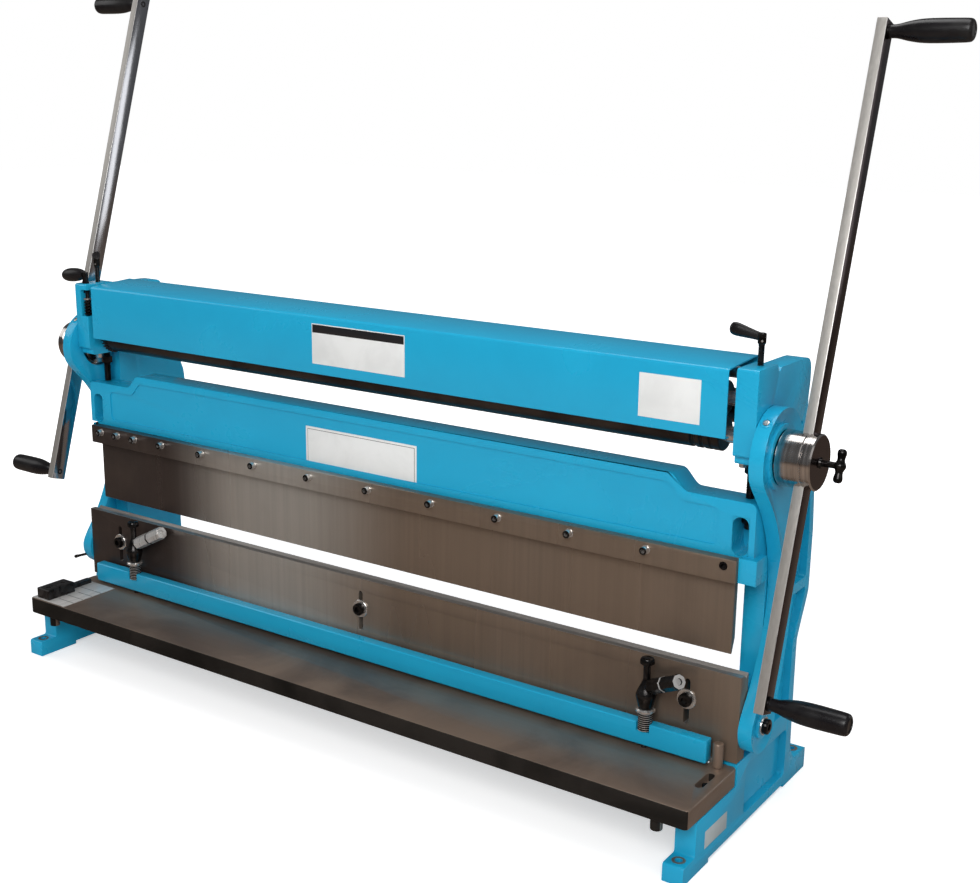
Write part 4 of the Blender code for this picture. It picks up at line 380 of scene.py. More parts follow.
def black_plastic():
    finish = Finish("moulded_black_plastic", roughness=0.30, coat=0.08, coat_roughness=0.14, shine=0.30)
    handled = finish.mask(PATCHES, Size=25.0, Low=0.35, High=0.70)
    finish.paint(finish.colour(handled, PLASTIC_BLACK, OXIDE_TONES[0]), handled, 0.26, 0.42)
    finish.bump(finish.mask(GRAIN, Grains=700.0), 0.05, 0.0003)
    return finish.material


def blank_label(name, colour):
    finish = Finish(name, roughness=0.35)
    dull = finish.mask(PATCHES, Size=18.0, Low=0.30, High=0.75)
    darker = tuple(0.90 * c for c in colour)
    finish.paint(finish.colour(dull, colour, darker), dull, 0.30, 0.42)
    return finish.material


ALONG_X = (0.02, 1.0, 1.0)
ROUND_X = (1.0, 0.03, 0.03)
ROUND_Z = (0.03, 0.03, 1.0)

CAST_BLUE = sky_blue_paint("sky_blue_cast_paint", 240.0, 0.10)
SHEET_BLUE = sky_blue_paint("sky_blue_sheet_paint", 300.0, 0.03)
PLATE_STEEL = ground_plate()
TABLE_IRON = brushed("oiled_table_iron", ALONG_X, 150.0, TABLE_TONES, 0.62, 0.30, 0.46)
TABLE_EDGE = brushed("blackened_table_edge", ALONG_X, 90.0, EDGE_TONES, 0.10, 0.42, 0.60, 0.15)
ROLL_STEEL = brushed("oiled_roll_steel", ROUND_X, 120.0, ROLL_TONES, 0.85, 0.22, 0.38)
TURNED_STEEL = turned_steel("turned_bright_steel", ROUND_X, STEEL_TONES, 0.14, 0.34)
TURNED_UPRIGHT = turned_steel("turned_upright_steel", ROUND_Z, STEEL_TONES, 0.16, 0.34)
BLADE_STEEL = turned_steel("ground_blade_steel", ALONG_X, STEEL_TONES, 0.22, 0.42)
BAR_EDGE = turned_steel("bar_edge_steel", (1.0, 1.0, 0.04), BAR_TONES, 0.40, 0.56, 0.70)
BAR_SIDE = turned_steel("bar_side_chrome", (1.0, 1.0, 0.05), CHROME_TONES, 0.10, 0.20, 1.0)
# Bright turned steel: the left clamp lever's own finish, and painted highlight on thread crests, the right lever's
# end and the bars' edges
BRIGHT_STEEL_AND_HIGHLIGHT = turned_steel("bright_lever_steel", ROUND_X, STEEL_TONES, 0.20, 0.40, 0.60)
HUB_STEEL = turned_steel("polished_hub_steel", ROUND_X, HUB_RING_AND_SHEEN_TONES, 0.10, 0.24, 1.0)
# Painted shade: polished steel darkened for the hub's end face and the handle bars' outer sides
PAINTED_SHADE_POLISH = turned_steel("dark_polished_steel", ROUND_X, SHADED_TONES, 0.14, 0.30, 1.0)
RUBBED_EDGE = turned_steel("rubbed_edge_steel", ALONG_X, RUBBED_TONES, 0.30, 0.55)
SCALE_STEEL = turned_steel("scale_plate_steel", (1.0, 0.02, 1.0), STEEL_TONES, 0.24, 0.44, 0.35)
BLACK_OXIDE = black_oxide("black_oxide_steel", 0.60, 0.26, 0.46)
BRIGHT_BLACK = black_oxide("polished_black_steel", 0.85, 0.14, 0.28)
BLACK_PLASTIC = black_plastic()
WHITE_LABEL = blank_label("blank_white_plate", LABEL_WHITE)
GREY_LABEL = blank_label("blank_grey_plate", LABEL_GREY)
BLACK_LABEL = blank_label("blank_black_border", LABEL_BLACK)

# Slot words by material; keep() looks one up unless another is given, but doesn't store it on the piece
SLOT_OF = {material.name: "bright_steel" for material in (
    ROLL_STEEL, TURNED_STEEL, TURNED_UPRIGHT, BLADE_STEEL, HUB_STEEL, SCALE_STEEL)}
SLOT_OF.update({CAST_BLUE.name: "blue_paint", SHEET_BLUE.name: "blue_paint", PLATE_STEEL.name: "plate_steel",
                TABLE_IRON.name: "table_iron", BLACK_OXIDE.name: "black_steel", BRIGHT_BLACK.name: "black_steel",
                BLACK_PLASTIC.name: "black_plastic", BAR_EDGE.name: "chrome"})


# Modelling helpers
UP = (0, 0, 1)
DOWN = (0, 0, -1)
FORWARD = (0, -1, 0)
BACKWARD = (0, 1, 0)
MERGE_DISTANCE = 0.00001
FLAT_ANGLE = radians(0.6)
SMOOTH_ANGLE = radians(30.0)
EDGE_SEGMENTS = 3
EDGE_ANGLE = radians(38.0)
SOFT_BEND_LOW = radians(4.0)
SOFT_BEND_HIGH = radians(36.0)
SOFT_WIDTH = 3.0 * MM
SOFT_SHARE = 32.0


def start_edit():
    bpy.ops.object.mode_set(mode="EDIT")


def choose_all(action="SELECT"):
    start_edit()
    bpy.ops.mesh.select_all(action=action)


def leave_edit():
    if bpy.context.object is not None and bpy.context.object.mode != "OBJECT":
        bpy.ops.object.mode_set(mode="OBJECT")


def clear_selection():
    leave_edit()
    bpy.ops.object.select_all(action="DESELECT")


def work_on(piece):
    clear_selection()
    piece.select_set(True)
    bpy.context.view_layer.objects.active = piece


def add_object(name, data):
    made = bpy.data.objects.new(name, data)
    bpy.context.scene.collection.objects.link(made)
    return made


def apply_place(piece):
    work_on(piece)
    bpy.ops.object.transform_apply(location=True, rotation=True, scale=True)
    return piece


def keep(piece, name, body, material, stands_for=None, slot=None):
    """Settles a modelled piece: its place goes into its mesh, and it rides on its body."""
    apply_place(piece)
    bpy.ops.object.shade_smooth_by_angle(angle=SMOOTH_ANGLE)
    piece.name = name
    piece.data.name = name
    piece.data.materials.clear()
    piece.data.materials.append(material)
    slot = slot or SLOT_OF[material.name]
    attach(piece, body)
    if stands_for:
        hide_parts(stands_for)
    return piece


def second_finish(piece, material, wears):
    """Gives some faces of a piece, chosen by place and normal, another finish."""
    piece.data.materials.append(material)
    for face in piece.data.polygons:
        if wears(face.center, face.normal):
            face.material_index = len(piece.data.materials) - 1


def choose_no_edges(piece):
    """Leaves a piece with nothing chosen, ready for edges to be chosen by their place."""
    work_on(piece)
    bpy.context.tool_settings.mesh_select_mode = (False, True, False)
    choose_all("DESELECT")
    leave_edit()


def soften(piece, axis):
    """Rounds off the shallow corners of a curved outline that was extruded along one axis."""
    choose_no_edges(piece)
    mesh = piece.data
    beside = {}
    for face in mesh.polygons:
        for key in face.edge_keys:
            beside.setdefault(key, []).append(face)
    for edge in mesh.edges:
        run = mesh.vertices[edge.vertices[1]].co - mesh.vertices[edge.vertices[0]].co
        faces = beside[edge.key]
        if len(faces) != 2 or abs(run[axis]) < 0.99 * run.length:
            continue
        bend = faces[0].normal.angle(faces[1].normal, 0.0)
        width = min(face.area for face in faces) / run.length
        edge.select = SOFT_BEND_LOW < bend < SOFT_BEND_HIGH and width > SOFT_WIDTH
    start_edit()
    bpy.ops.mesh.bevel(offset_type="PERCENT", offset_pct=SOFT_SHARE, segments=2, affect="EDGES")
    leave_edit()


def dressed(node, body, material, edge, curved_along=None):
    """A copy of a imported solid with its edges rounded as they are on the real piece."""
    leave_edit()
    piece = add_object(node + "_dressed", NODES[node].data.copy())
    work_on(piece)
    choose_all()
    bpy.ops.mesh.remove_doubles(threshold=MERGE_DISTANCE)
    bpy.ops.mesh.dissolve_limited(angle_limit=FLAT_ANGLE)
    leave_edit()
    bpy.ops.mesh.customdata_custom_splitnormals_clear()
    if curved_along is not None:
        soften(piece, curved_along)
    if edge:
        rounding = piece.modifiers.new("edge_rounding", "BEVEL")
        rounding.width = edge
        rounding.segments = EDGE_SEGMENTS
        rounding.limit_method = "ANGLE"
        rounding.angle_limit = EDGE_ANGLE
        bpy.ops.object.modifier_apply(modifier=rounding.name)
    return keep(piece, node + "_dressed", body, material, node)


def turned(sections, around=48):
    """Turns a piece up the Z axis: a disc is extruded and scaled through (height, radius) sections."""
    clear_selection()
    height, radius = sections[0]
    bpy.ops.mesh.primitive_circle_add(vertices=around, radius=radius, fill_type="NGON", location=(0, 0, height))
    piece = apply_place(bpy.context.object)
    choose_all()
    for next_height, next_radius in sections[1:]:
        bpy.ops.mesh.extrude_region_move(TRANSFORM_OT_translate={"value": (0, 0, next_height - height)})
        share = next_radius / radius
        bpy.ops.transform.resize(value=(share, share, 1), center_override=(0, 0, next_height))
        height, radius = next_height, next_radius
    return face_outwards(piece)


def face_outwards(piece):
    choose_all()
    bpy.ops.mesh.normals_make_consistent(inside=False)
    leave_edit()
    return piece


def disc(low, high, radius, around=48):
    return turned(((low, radius), (high, radius)), around)


def eased(knots, steps=4):
    """Sections of a smooth outline drawn through a few (height, radius) knots."""
    last = len(knots) - 1
    sections = []
    for i in range(last):
        before, start, end, after = knots[max(i - 1, 0)], knots[i], knots[i + 1], knots[min(i + 2, last)]
        for step in range(steps):
            t = step / steps
            sections.append(tuple(
                0.5 * (2 * b + (c - a) * t + (2 * a - 5 * b + 4 * c - d) * t ** 2
                       + (3 * b - a - 3 * c + d) * t ** 3)
                for a, b, c, d in zip(before, start, end, after)))
    return sections + [knots[last]]


def thread(start, end, radius, pitch, depth):
    """Sections of a thread's flat crests and sharp roots between two heights."""
    turns = round((end - start) / pitch)
    step = (end - start) / turns
    sections = [(start, radius - depth)]
    for i in range(turns):
        sections += [(start + step * (i + 0.4), radius), (start + step * (i + 0.6), radius),
                     (start + step * (i + 1), radius - depth)]
    return sections


def point(piece, origin, direction):
    """Stands a piece modelled up the Z axis at an origin, along a direction."""
    turn = Vector(UP).rotation_difference(Vector(direction).normalized())
    piece.matrix_world = Matrix.Translation(Vector(origin)) @ turn.to_matrix().to_4x4() @ piece.matrix_world
    return apply_place(piece)


def lay(piece, x, axis, side=1):
    """Lays a piece across the machine, on an axis and pointing to one side."""
    return point(piece, (x, axis.y, axis.z), (side, 0, 0))


def upright(sections, axis, name, body, material, stands_for=None, around=48):
    """Turns a piece on an upright axis, its sections at their true heights, and keeps it."""
    return keep(point(turned(sections, around), (axis.x, axis.y, 0), UP), name, body, material, stands_for)


def placed(pattern, origin, direction):
    """A copy of a pattern piece, with its own mesh, stood at an origin along a direction."""
    return point(add_object(pattern.name, pattern.data.copy()), origin, direction)


def discard(*patterns):
    for pattern in patterns:
        bpy.data.objects.remove(pattern, do_unlink=True)


def flat_plate(low, high, edge=0.0):
    """A rectangular plate between two corners, its edges bevelled."""
    clear_selection()
    bpy.ops.mesh.primitive_cube_add(size=1, location=(Vector(low) + Vector(high)) / 2)
    piece = bpy.context.object
    piece.scale = Vector(high) - Vector(low)
    apply_place(piece)
    if edge:
        choose_all()
        bpy.ops.mesh.bevel(offset=edge, segments=2, affect="EDGES")
        leave_edit()
    return piece


def work_with(piece, tool, operation="DIFFERENCE"):
    """Cuts a tool's shape from a piece, or keeps only what they share, and removes the tool."""
    work_on(piece)
    step = piece.modifiers.new("tool_cut", "BOOLEAN")
    step.operation = operation
    step.solver = "EXACT"
    step.object = tool
    bpy.ops.object.modifier_apply(modifier=step.name)
    discard(tool)
    return piece


def hexagon_bar(across, low, high):
    clear_selection()
    bpy.ops.mesh.primitive_cylinder_add(vertices=6, radius=across / sqrt(3), depth=high - low,
                                        location=(0, 0, (low + high) / 2))
    return bpy.context.object


def hexagon_nut(across, height):
    """A hexagon with its corners turned off at both ends."""
    corner = across / sqrt(3)
    slope = (corner - across / 2) * tan(radians(30))
    blank = turned(((0, across / 2), (slope, corner), (height - slope, corner), (height, across / 2)))
    return work_with(blank, hexagon_bar(across, -MM, height + MM), "INTERSECT")


def socket_screw(radius, height, key, around=40):
    """A cap screw's head with a rounded rim and a hexagon socket."""
    rim = 0.16 * radius
    head = turned(((0, radius), (height - rim, radius), (height - rim / 3, radius - rim / 3),
                   (height, radius - rim)), around)
    return work_with(head, hexagon_bar(key, 0.45 * height, height + MM))


def middle(node):
    low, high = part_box(node)
    return (low + high) / 2


def end_of(node, side):
    """A node's end that lies furthest out on one side of the machine."""
    low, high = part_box(node)
    return high.x if side > 0 else low.x


def start_of(node, side):
    """A node's end that lies nearest to the machine's middle."""
    return end_of(node, -side)


# Castings, plates and bars copied from the solids: body, material, edge rounding, axis of a curved outline
CASTING_EDGE = 1.6 * MM
DRESSED = (
    ("roll_guard", "base", SHEET_BLUE, 0.0),
    ("hold_down_bar", "hold_down", SHEET_BLUE, 0.4 * MM),
    ("lower_beam", "lower_ram", CAST_BLUE, 0.5 * MM),
    ("punch_plate", "upper_ram", PLATE_STEEL, 0.5 * MM),
    ("bending_plate", "lower_ram", PLATE_STEEL, 0.6 * MM),
    ("gauge_block", "base", BLACK_OXIDE, 0.3 * MM),
    ("lower_gear", "drive_shaft", BLACK_OXIDE, 0.25 * MM),
    ("upper_gear", "upper_roll", BLACK_OXIDE, 0.25 * MM),
    ("fixed_blade", "base", BLADE_STEEL, 0.4 * MM),
    ("moving_blade", "lower_ram", BLADE_STEEL, 0.4 * MM),
    ("bearing_block_left", "base", BLACK_OXIDE, 0.6 * MM),
    ("bearing_block_right", "base", BLACK_OXIDE, 0.6 * MM),
    ("frame_right", "base", CAST_BLUE, CASTING_EDGE, 0),
)


def refinish():
    """Solids that stay as they are wear the black finish of the machine's fasteners."""
    for node in NODES.values():
        node.data.materials.clear()
        node.data.materials.append(BLACK_OXIDE)


def bare_edges(name, upright):
    """The plates' working edges are rubbed bright."""
    second_finish(bpy.data.objects[name], RUBBED_EDGE, lambda place, normal: normal.z * upright > 0.5)


# Left end frame, with the open slot of its quick-release bearing
RELEASE_SLOT_LOW = (-684.0 * MM, FRONT_Y - 2 * MM, 640.0 * MM)
RELEASE_SLOT_HIGH = (-660.0 * MM, FRONT_Y + 24 * MM, 690.0 * MM)
RELEASE_SPRING_RADIUS = 7.0 * MM
RELEASE_SPRING_WIRE = 1.3 * MM
RELEASE_SPRING_TURNS = 5
RELEASE_SPRING_SHARE = 0.62


def left_frame():
    casting = dressed("frame_left", "base", CAST_BLUE, CASTING_EDGE, curved_along=0)
    work_with(casting, flat_plate(RELEASE_SLOT_LOW, RELEASE_SLOT_HIGH))
    keep(casting, "frame_left_dressed", "base", CAST_BLUE)
    r = RELEASE_SPRING_RADIUS
    axis = Vector(((RELEASE_SLOT_LOW[0] + start_of("frame_left", -1)) / 2, FRONT_Y + r + MM, 0))
    bottom = RELEASE_SLOT_LOW[2]
    top = RELEASE_SLOT_HIGH[2]
    split = bottom + RELEASE_SPRING_SHARE * (top - bottom)
    upright(thread(bottom, top, 0.55 * r, *SCREW_THREAD[1:]), axis, "release_latch_pin", "base",
            BRIGHT_BLACK, around=24)
    coil = thread(bottom + MM, split - 2 * MM, r, (split - bottom) / RELEASE_SPRING_TURNS, 2 * RELEASE_SPRING_WIRE)
    upright(coil, axis, "release_latch_spring", "base", BRIGHT_BLACK, around=32)
    upright(((split, r), (split + 3 * MM, r)), axis, "release_latch_collar", "base", TURNED_UPRIGHT, around=32)


# Upper ram, with the ends of its nut windows rounded
WINDOW_LOW = Vector((665.0 * MM, FRONT_Y + 21.0 * MM, 429.0 * MM))
WINDOW_HIGH = Vector((689.0 * MM, FRONT_Y + 60.5 * MM, 485.0 * MM))
WINDOW_ROUNDING = 10.0 * MM
WINDOW_BURY = 0.8 * MM
# The left end has no foot beside the clamp strip
LEFT_END_LOW = Vector((-720.0 * MM, FRONT_Y - 2.0 * MM, 385.0 * MM))
LEFT_END_HIGH = Vector((-681.6 * MM, FRONT_Y + 64.0 * MM, 429.0 * MM))


def upper_ram():
    casting = dressed("upper_ram", "upper_ram", CAST_BLUE, CASTING_EDGE, curved_along=1)
    for word, side in SIDES:
        bury = Vector((WINDOW_BURY, 0, WINDOW_BURY))
        filling = flat_plate(WINDOW_LOW - bury, WINDOW_HIGH + bury)
        work_with(filling, window_shape())
        axis = middle("ram_stud_" + word)
        bore = disc(WINDOW_LOW.z - MM, WINDOW_HIGH.z + MM, STUD_THREAD[0] + MM)
        work_with(filling, point(bore, (abs(axis.x), axis.y, 0), UP))
        if side < 0:
            work_on(filling)
            bpy.ops.transform.mirror(constraint_axis=(True, False, False), center_override=(0, 0, 0))
            face_outwards(apply_place(filling))
        work_with(casting, filling, "UNION")
    work_with(casting, flat_plate(LEFT_END_LOW, LEFT_END_HIGH))
    keep(casting, "upper_ram_dressed", "upper_ram", CAST_BLUE)


def window_shape():
    """A plate as deep as a window, its upright corners well rounded."""
    overrun = Vector((0, 2 * MM, 0))
    shape = flat_plate(WINDOW_LOW - overrun, WINDOW_HIGH + overrun)
    choose_no_edges(shape)
    for edge in shape.data.edges:
        first, last = (shape.data.vertices[i].co for i in edge.vertices)
        edge.select = abs(first.y - last.y) > MM
    start_edit()
    bpy.ops.mesh.bevel(offset=WINDOW_ROUNDING, segments=6, affect="EDGES")
    leave_edit()
    return shape


# Table, its slot screw and the scale with its engraved lines
TABLE_SLOT_DEPTH = 12.0 * MM
TABLE_SLOT_X = 678.5 * MM
TABLE_SLOT_SCREW_Y = FRONT_Y - 52.0 * MM
END_POST_X = 674.5 * MM
END_POST_Y = FRONT_Y - 6.5 * MM
END_POST_RADIUS = 8.0 * MM
END_POST_HEIGHT = 38.0 * MM
END_BLOCK_FRONT_Y = FRONT_Y + MM
END_BLOCK_BACK_Y = FRONT_Y + 7.0 * MM
END_BLOCK_HEIGHT = 6.0 * MM
SCALE_LINE_PITCH = 44.0 * MM
SCALE_LINE_WIDTH = 1.2 * MM
SCALE_LINE_HEIGHT = 0.06 * MM
SCALE_LINE_SHARES = (1.0, 0.45)


def table():
    top = dressed("table", "base", TABLE_IRON, 0.5 * MM)
    second_finish(top, TABLE_EDGE, lambda place, normal: normal.y < -0.6 or normal.z < -0.6)
    screw = socket_screw(*TABLE_SCREW)
    point(screw, (TABLE_SLOT_X, TABLE_SLOT_SCREW_Y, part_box("table")[1].z - TABLE_SLOT_DEPTH), UP)
    keep(screw, "table_slot_screw", "base", BRIGHT_BLACK)


def blade_end():
    """Post and filler block where the ground blade ends, at the table's right rear corner."""
    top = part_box("table")[1].z
    r, h = END_POST_RADIUS, END_POST_HEIGHT
    post = turned(((0, r - MM), (MM, r), (h - 2 * MM, r), (h - 0.6 * MM, r - 0.8 * MM), (h, r - 2.2 * MM)))
    point(post, (END_POST_X, END_POST_Y, top), UP)
    keep(post, "end_post", "base", TABLE_IRON)
    block = flat_plate((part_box("fixed_blade")[1].x + MM, END_BLOCK_FRONT_Y, top),
                       (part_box("frame_right")[0].x - 0.5 * MM, END_BLOCK_BACK_Y, top + END_BLOCK_HEIGHT), 0.4 * MM)
    keep(block, "blade_end_block", "base", BLADE_STEEL)


def scale():
    low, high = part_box("scale_strip")
    strip = flat_plate(low, high, 0.2 * MM)
    keep(strip, "scale_plate", "base", SCALE_STEEL, "scale_strip")
    lines = int((high.y - low.y) / (SCALE_LINE_PITCH / 2))
    for i in range(1, lines):
        y = low.y + i * SCALE_LINE_PITCH / 2
        reach = (high.x - low.x) * SCALE_LINE_SHARES[i % 2]
        mark = flat_plate((high.x - reach, y, high.z - SCALE_LINE_HEIGHT),
                          (high.x, y + SCALE_LINE_WIDTH, high.z + SCALE_LINE_HEIGHT), 0.02 * MM)
        keep(mark, "scale_line_%02d" % i, "base", BLACK_OXIDE)


# Clamp strip with its cap screws, spaced closer together towards the left
def clamp_strip():
    low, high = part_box("clamp_strip")
    front = high.y - STRIP_THICKNESS
    z = high.z - STRIP_SCREW_DROP
    strip = flat_plate((low.x, front, low.z), high, STRIP_EDGE)
    well_x = high.x - STRIP_WELL_INSET
    well = disc(-MM, STRIP_WELL_DEPTH, STRIP_WELL_RADIUS, 32)
    work_with(strip, point(well, (well_x, front, z), BACKWARD))
    keep(strip, "clamp_strip_bar", "upper_ram", PLATE_STEEL, "clamp_strip")
    places = [high.x - STRIP_FIRST_INSET - STRIP_SCREW_PITCH * i for i in range(STRIP_SCREWS)]
    places += [low.x + inset for inset in STRIP_CLOSE_INSETS]
    head = socket_screw(*STRIP_SCREW)
    washer = disc(0, STRIP_WASHER_HEIGHT, STRIP_SCREW[0] + MM, 32)
    for i, x in enumerate(sorted(places), 1):
        keep(placed(washer, (x, front, z), FORWARD), "strip_washer_%02d" % i, "upper_ram", TURNED_STEEL)
        screw = placed(head, (x, front - STRIP_WASHER_HEIGHT, z), FORWARD)
        keep(screw, "strip_screw_%02d" % i, "upper_ram", BRIGHT_BLACK)
        # Painted highlight on the sides of the screw heads
        second_finish(screw, BLADE_STEEL, lambda place, normal: abs(normal.y) < 0.3)
    screw = placed(head, (well_x, front + STRIP_WELL_DEPTH, z), FORWARD)
    keep(screw, "strip_well_screw", "upper_ram", BRIGHT_BLACK)
    discard(head, washer)


def slot_screws():
    """The screws and washers that hold the bending plate through its three slots."""
    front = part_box("bending_plate")[0].y
    r, h, c = SLOT_WASHER_RADIUS, SLOT_WASHER_HEIGHT, SLOT_WASHER_CHAMFER
    washer = turned(((0, r), (h - c, r), (h, r - c)))
    head = socket_screw(*SLOT_SCREW)
    for word in ("left", "middle", "right"):
        place = middle("plate_screw_" + word)
        ring = placed(washer, (place.x, front, place.z), FORWARD)
        keep(ring, "plate_washer_" + word, "lower_ram", TURNED_STEEL)
        screw = placed(head, (place.x, front - h, place.z), FORWARD)
        keep(screw, "plate_cap_screw_" + word, "lower_ram", BRIGHT_BLACK, "plate_screw_" + word)
    discard(washer, head)


# Clamps
def clamp_body_sections(bottom, top):
    """Sections of a knob's foot, bulb, neck and cap."""
    cap = top - CLAMP_CAP_HEIGHT
    bulb = bottom + CLAMP_BULB_RISE
    f, b, n, c = CLAMP_FOOT_RADIUS, CLAMP_BULB_RADIUS, CLAMP_NECK_RADIUS, CLAMP_CAP_RADIUS
    return ([(bottom, f)]
            + eased([(bottom + 2 * MM, f + MM), (bulb - 5 * MM, b - MM), (bulb, b), (bulb + 6 * MM, b - MM),
                     (bulb + 20 * MM, n + 2.5 * MM), (bulb + 27 * MM, n)])
            + [(cap, n), (cap, 0.75 * c), (cap + 2 * MM, c), (top - 4 * MM, c), (top - 1.2 * MM, 0.86 * c),
               (top, 0.62 * c), (top - MM, 0.45 * c)])


def clamp_lever_sections():
    """Sections of a lever with a groove round its middle and a sunk end."""
    start = CLAMP_LEVER_START
    end = start + CLAMP_LEVER_LENGTH
    half = (start + end) / 2
    r = CLAMP_LEVER_RADIUS
    g = CLAMP_GROOVE_HALF
    return ((start, r - MM), (start + MM, r), (half - g, r), (half - 0.6 * g, r - 2.4 * MM),
            (half + 0.6 * g, r - 2.4 * MM), (half + g, r), (end - MM, r), (end, r - MM),
            (end, 0.45 * r), (end - 3 * MM, 0.42 * r))


def clamp(word):
    """Threaded sleeve and ring on the hold-down bar, and the knob and lever that swing on them."""
    axis = middle("clamp_stud_" + word)
    body = "clamp_" + word
    low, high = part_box("clamp_sleeve_" + word)
    sleeve = upright(thread(low.z, high.z, *CLAMP_THREAD), axis, "clamp_thread_" + word, "hold_down",
                     BRIGHT_BLACK, "clamp_sleeve_" + word)
    # Painted highlight on the thread's crests
    second_finish(sleeve, BRIGHT_STEEL_AND_HIGHLIGHT, lambda place, normal: abs(normal.z) < 0.1)
    low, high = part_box("clamp_washer_" + word)
    r = high.x - axis.x
    upright(((low.z, r - MM), (low.z + MM, r), (high.z - 2 * MM, r), (high.z, r - 2 * MM)), axis,
            "clamp_ring_" + word, "hold_down", TURNED_UPRIGHT, "clamp_washer_" + word)
    low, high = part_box("clamp_body_" + word)
    upright(clamp_body_sections(low.z, high.z), axis, "clamp_knob_" + word, body, BRIGHT_BLACK, "clamp_body_" + word)
    pivot = Vector((axis.x, axis.y, low.z + CLAMP_LEVER_RISE))
    aim = middle("clamp_lever_" + word) - pivot
    boss = turned(((0, CLAMP_LEVER_BOSS_RADIUS - 2 * MM), (CLAMP_LEVER_START + 2 * MM, CLAMP_LEVER_BOSS_RADIUS)))
    keep(point(boss, pivot, aim), "clamp_boss_" + word, body, BRIGHT_BLACK)
    lever = turned(clamp_lever_sections(), CLAMP_LEVER_FLATS)
    # The right lever is the same bright steel as the left; its black is painted shade
    keep(point(lever, pivot, aim), "clamp_handle_" + word, body, BRIGHT_STEEL_AND_HIGHLIGHT if word == "left" else BRIGHT_BLACK,
         "clamp_lever_" + word, "bright_steel")
    direction = aim.normalized()
    half = pivot + direction * (CLAMP_LEVER_START + CLAMP_LEVER_LENGTH / 2)
    second_finish(lever, BRIGHT_BLACK, lambda place, normal: abs((place - half).dot(direction)) < CLAMP_GROOVE_HALF)
    # Painted highlight on the right lever's end face
    if word == "right":
        second_finish(lever, BRIGHT_STEEL_AND_HIGHLIGHT, lambda place, normal: normal.dot(direction) > 0.9)


# Studs and nuts at the ends of the upper ram
def ram_stud(word):
    low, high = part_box("ram_stud_" + word)
    axis = middle("ram_stud_" + word)
    upright(thread(low.z, high.z, *STUD_THREAD), axis, "ram_stud_thread_" + word, "base", BRIGHT_BLACK,
            "ram_stud_" + word, 28)
    collar = hexagon_nut(NUT_ACROSS, STUD_COLLAR_HEIGHT)
    bottom = high.z - STUD_COLLAR_TOP_DROP - STUD_COLLAR_HEIGHT
    keep(point(collar, (axis.x, axis.y, bottom), UP), "ram_stud_collar_" + word, "base", BRIGHT_BLACK)
    low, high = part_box("ram_nut_" + word)
    nut = hexagon_nut(NUT_ACROSS, high.z - low.z)
    keep(point(nut, (axis.x, axis.y, low.z), UP), "ram_hexagon_nut_" + word, "upper_ram", BRIGHT_BLACK,
         "ram_nut_" + word, "bright_steel")


# The small hexagon bolt under each head block
BLOCK_BOLT_X = 672.0 * MM
BLOCK_BOLT_Y = FRONT_Y + 26.0 * MM
BLOCK_BOLT_ACROSS = 10.0 * MM
BLOCK_BOLT_HEIGHT = 8.0 * MM
BLOCK_UNDERSIDE_Z = 565.0 * MM


def block_bolts():
    bolt = hexagon_nut(BLOCK_BOLT_ACROSS, BLOCK_BOLT_HEIGHT)
    for word, side in SIDES:
        head = placed(bolt, (side * BLOCK_BOLT_X, BLOCK_BOLT_Y, BLOCK_UNDERSIDE_Z), DOWN)
        keep(head, "block_bolt_" + word, "base", TURNED_UPRIGHT)
    discard(bolt)


# Bare metal around the bolt holes of the feet
FOOT_HOLES = (("front", -139.0 * MM, 28.0 * MM), ("rear", 263.0 * MM, 35.0 * MM))
FOOT_HOLE_X = 683.25 * MM
FOOT_HOLE_RADIUS = 5.8 * MM
FOOT_RING_RADIUS = 10.0 * MM
FOOT_RING_RISE = 0.15 * MM


def foot_rings():
    for word, side in SIDES:
        for end, setback, top in FOOT_HOLES:
            ring = disc(-FOOT_RING_RISE, FOOT_RING_RISE, FOOT_RING_RADIUS)
            work_with(ring, disc(-MM, MM, FOOT_HOLE_RADIUS))
            point(ring, (side * FOOT_HOLE_X, FRONT_Y + setback, top), UP)
            keep(ring, "foot_ring_%s_%s" % (end, word), "base", TABLE_IRON, slot="bright_steel")


# Hubs, clamp screws, handle bars and grips
BAR_DIRECTION = middle("grip_right_high") - middle("grip_right_low")
BAR_HALF_WIDTH = 15.0 * MM


def hub(word, side):
    centre = middle("hub_" + word)
    start = start_of("hub_" + word, side)
    face = end_of("hub_" + word, side)
    length = abs(face - start)
    ring = length - HUB_RING_INSET
    width, depth = HUB_RING_WIDTH, HUB_RING_DEPTH
    c = HUB_CHAMFER
    r = HUB_RADIUS
    body = turned(((0, SHEAVE_RADIUS), (SHEAVE_LENGTH, SHEAVE_RADIUS), (SHEAVE_LENGTH, r - c),
                   (SHEAVE_LENGTH + c, r), (ring, r), (ring + depth, r - depth), (ring + width + depth, r - depth),
                   (ring + width + 2 * depth, r), (length - c, r), (length, r - c)), HUB_SIDES)
    lay(body, start, centre, side)
    bar_low, bar_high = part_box("handle_bar_" + word)
    half_x = (bar_high.x - bar_low.x) / 2 + BAR_FIT
    half_w = BAR_HALF_WIDTH + BAR_FIT
    slot = flat_plate((-half_x, -half_w, -2 * HUB_RADIUS), (half_x, half_w, 2 * HUB_RADIUS))
    work_with(body, point(slot, ((bar_low.x + bar_high.x) / 2, centre.y, centre.z), BAR_DIRECTION))
    keep(body, "hub_turned_" + word, "drive_shaft", HUB_STEEL, "hub_" + word)
    # Painted shade on the hub's outer end face
    second_finish(body, PAINTED_SHADE_POLISH, lambda place, normal: abs(normal.x) > 0.95 and abs(place.x) > abs(face) - MM)


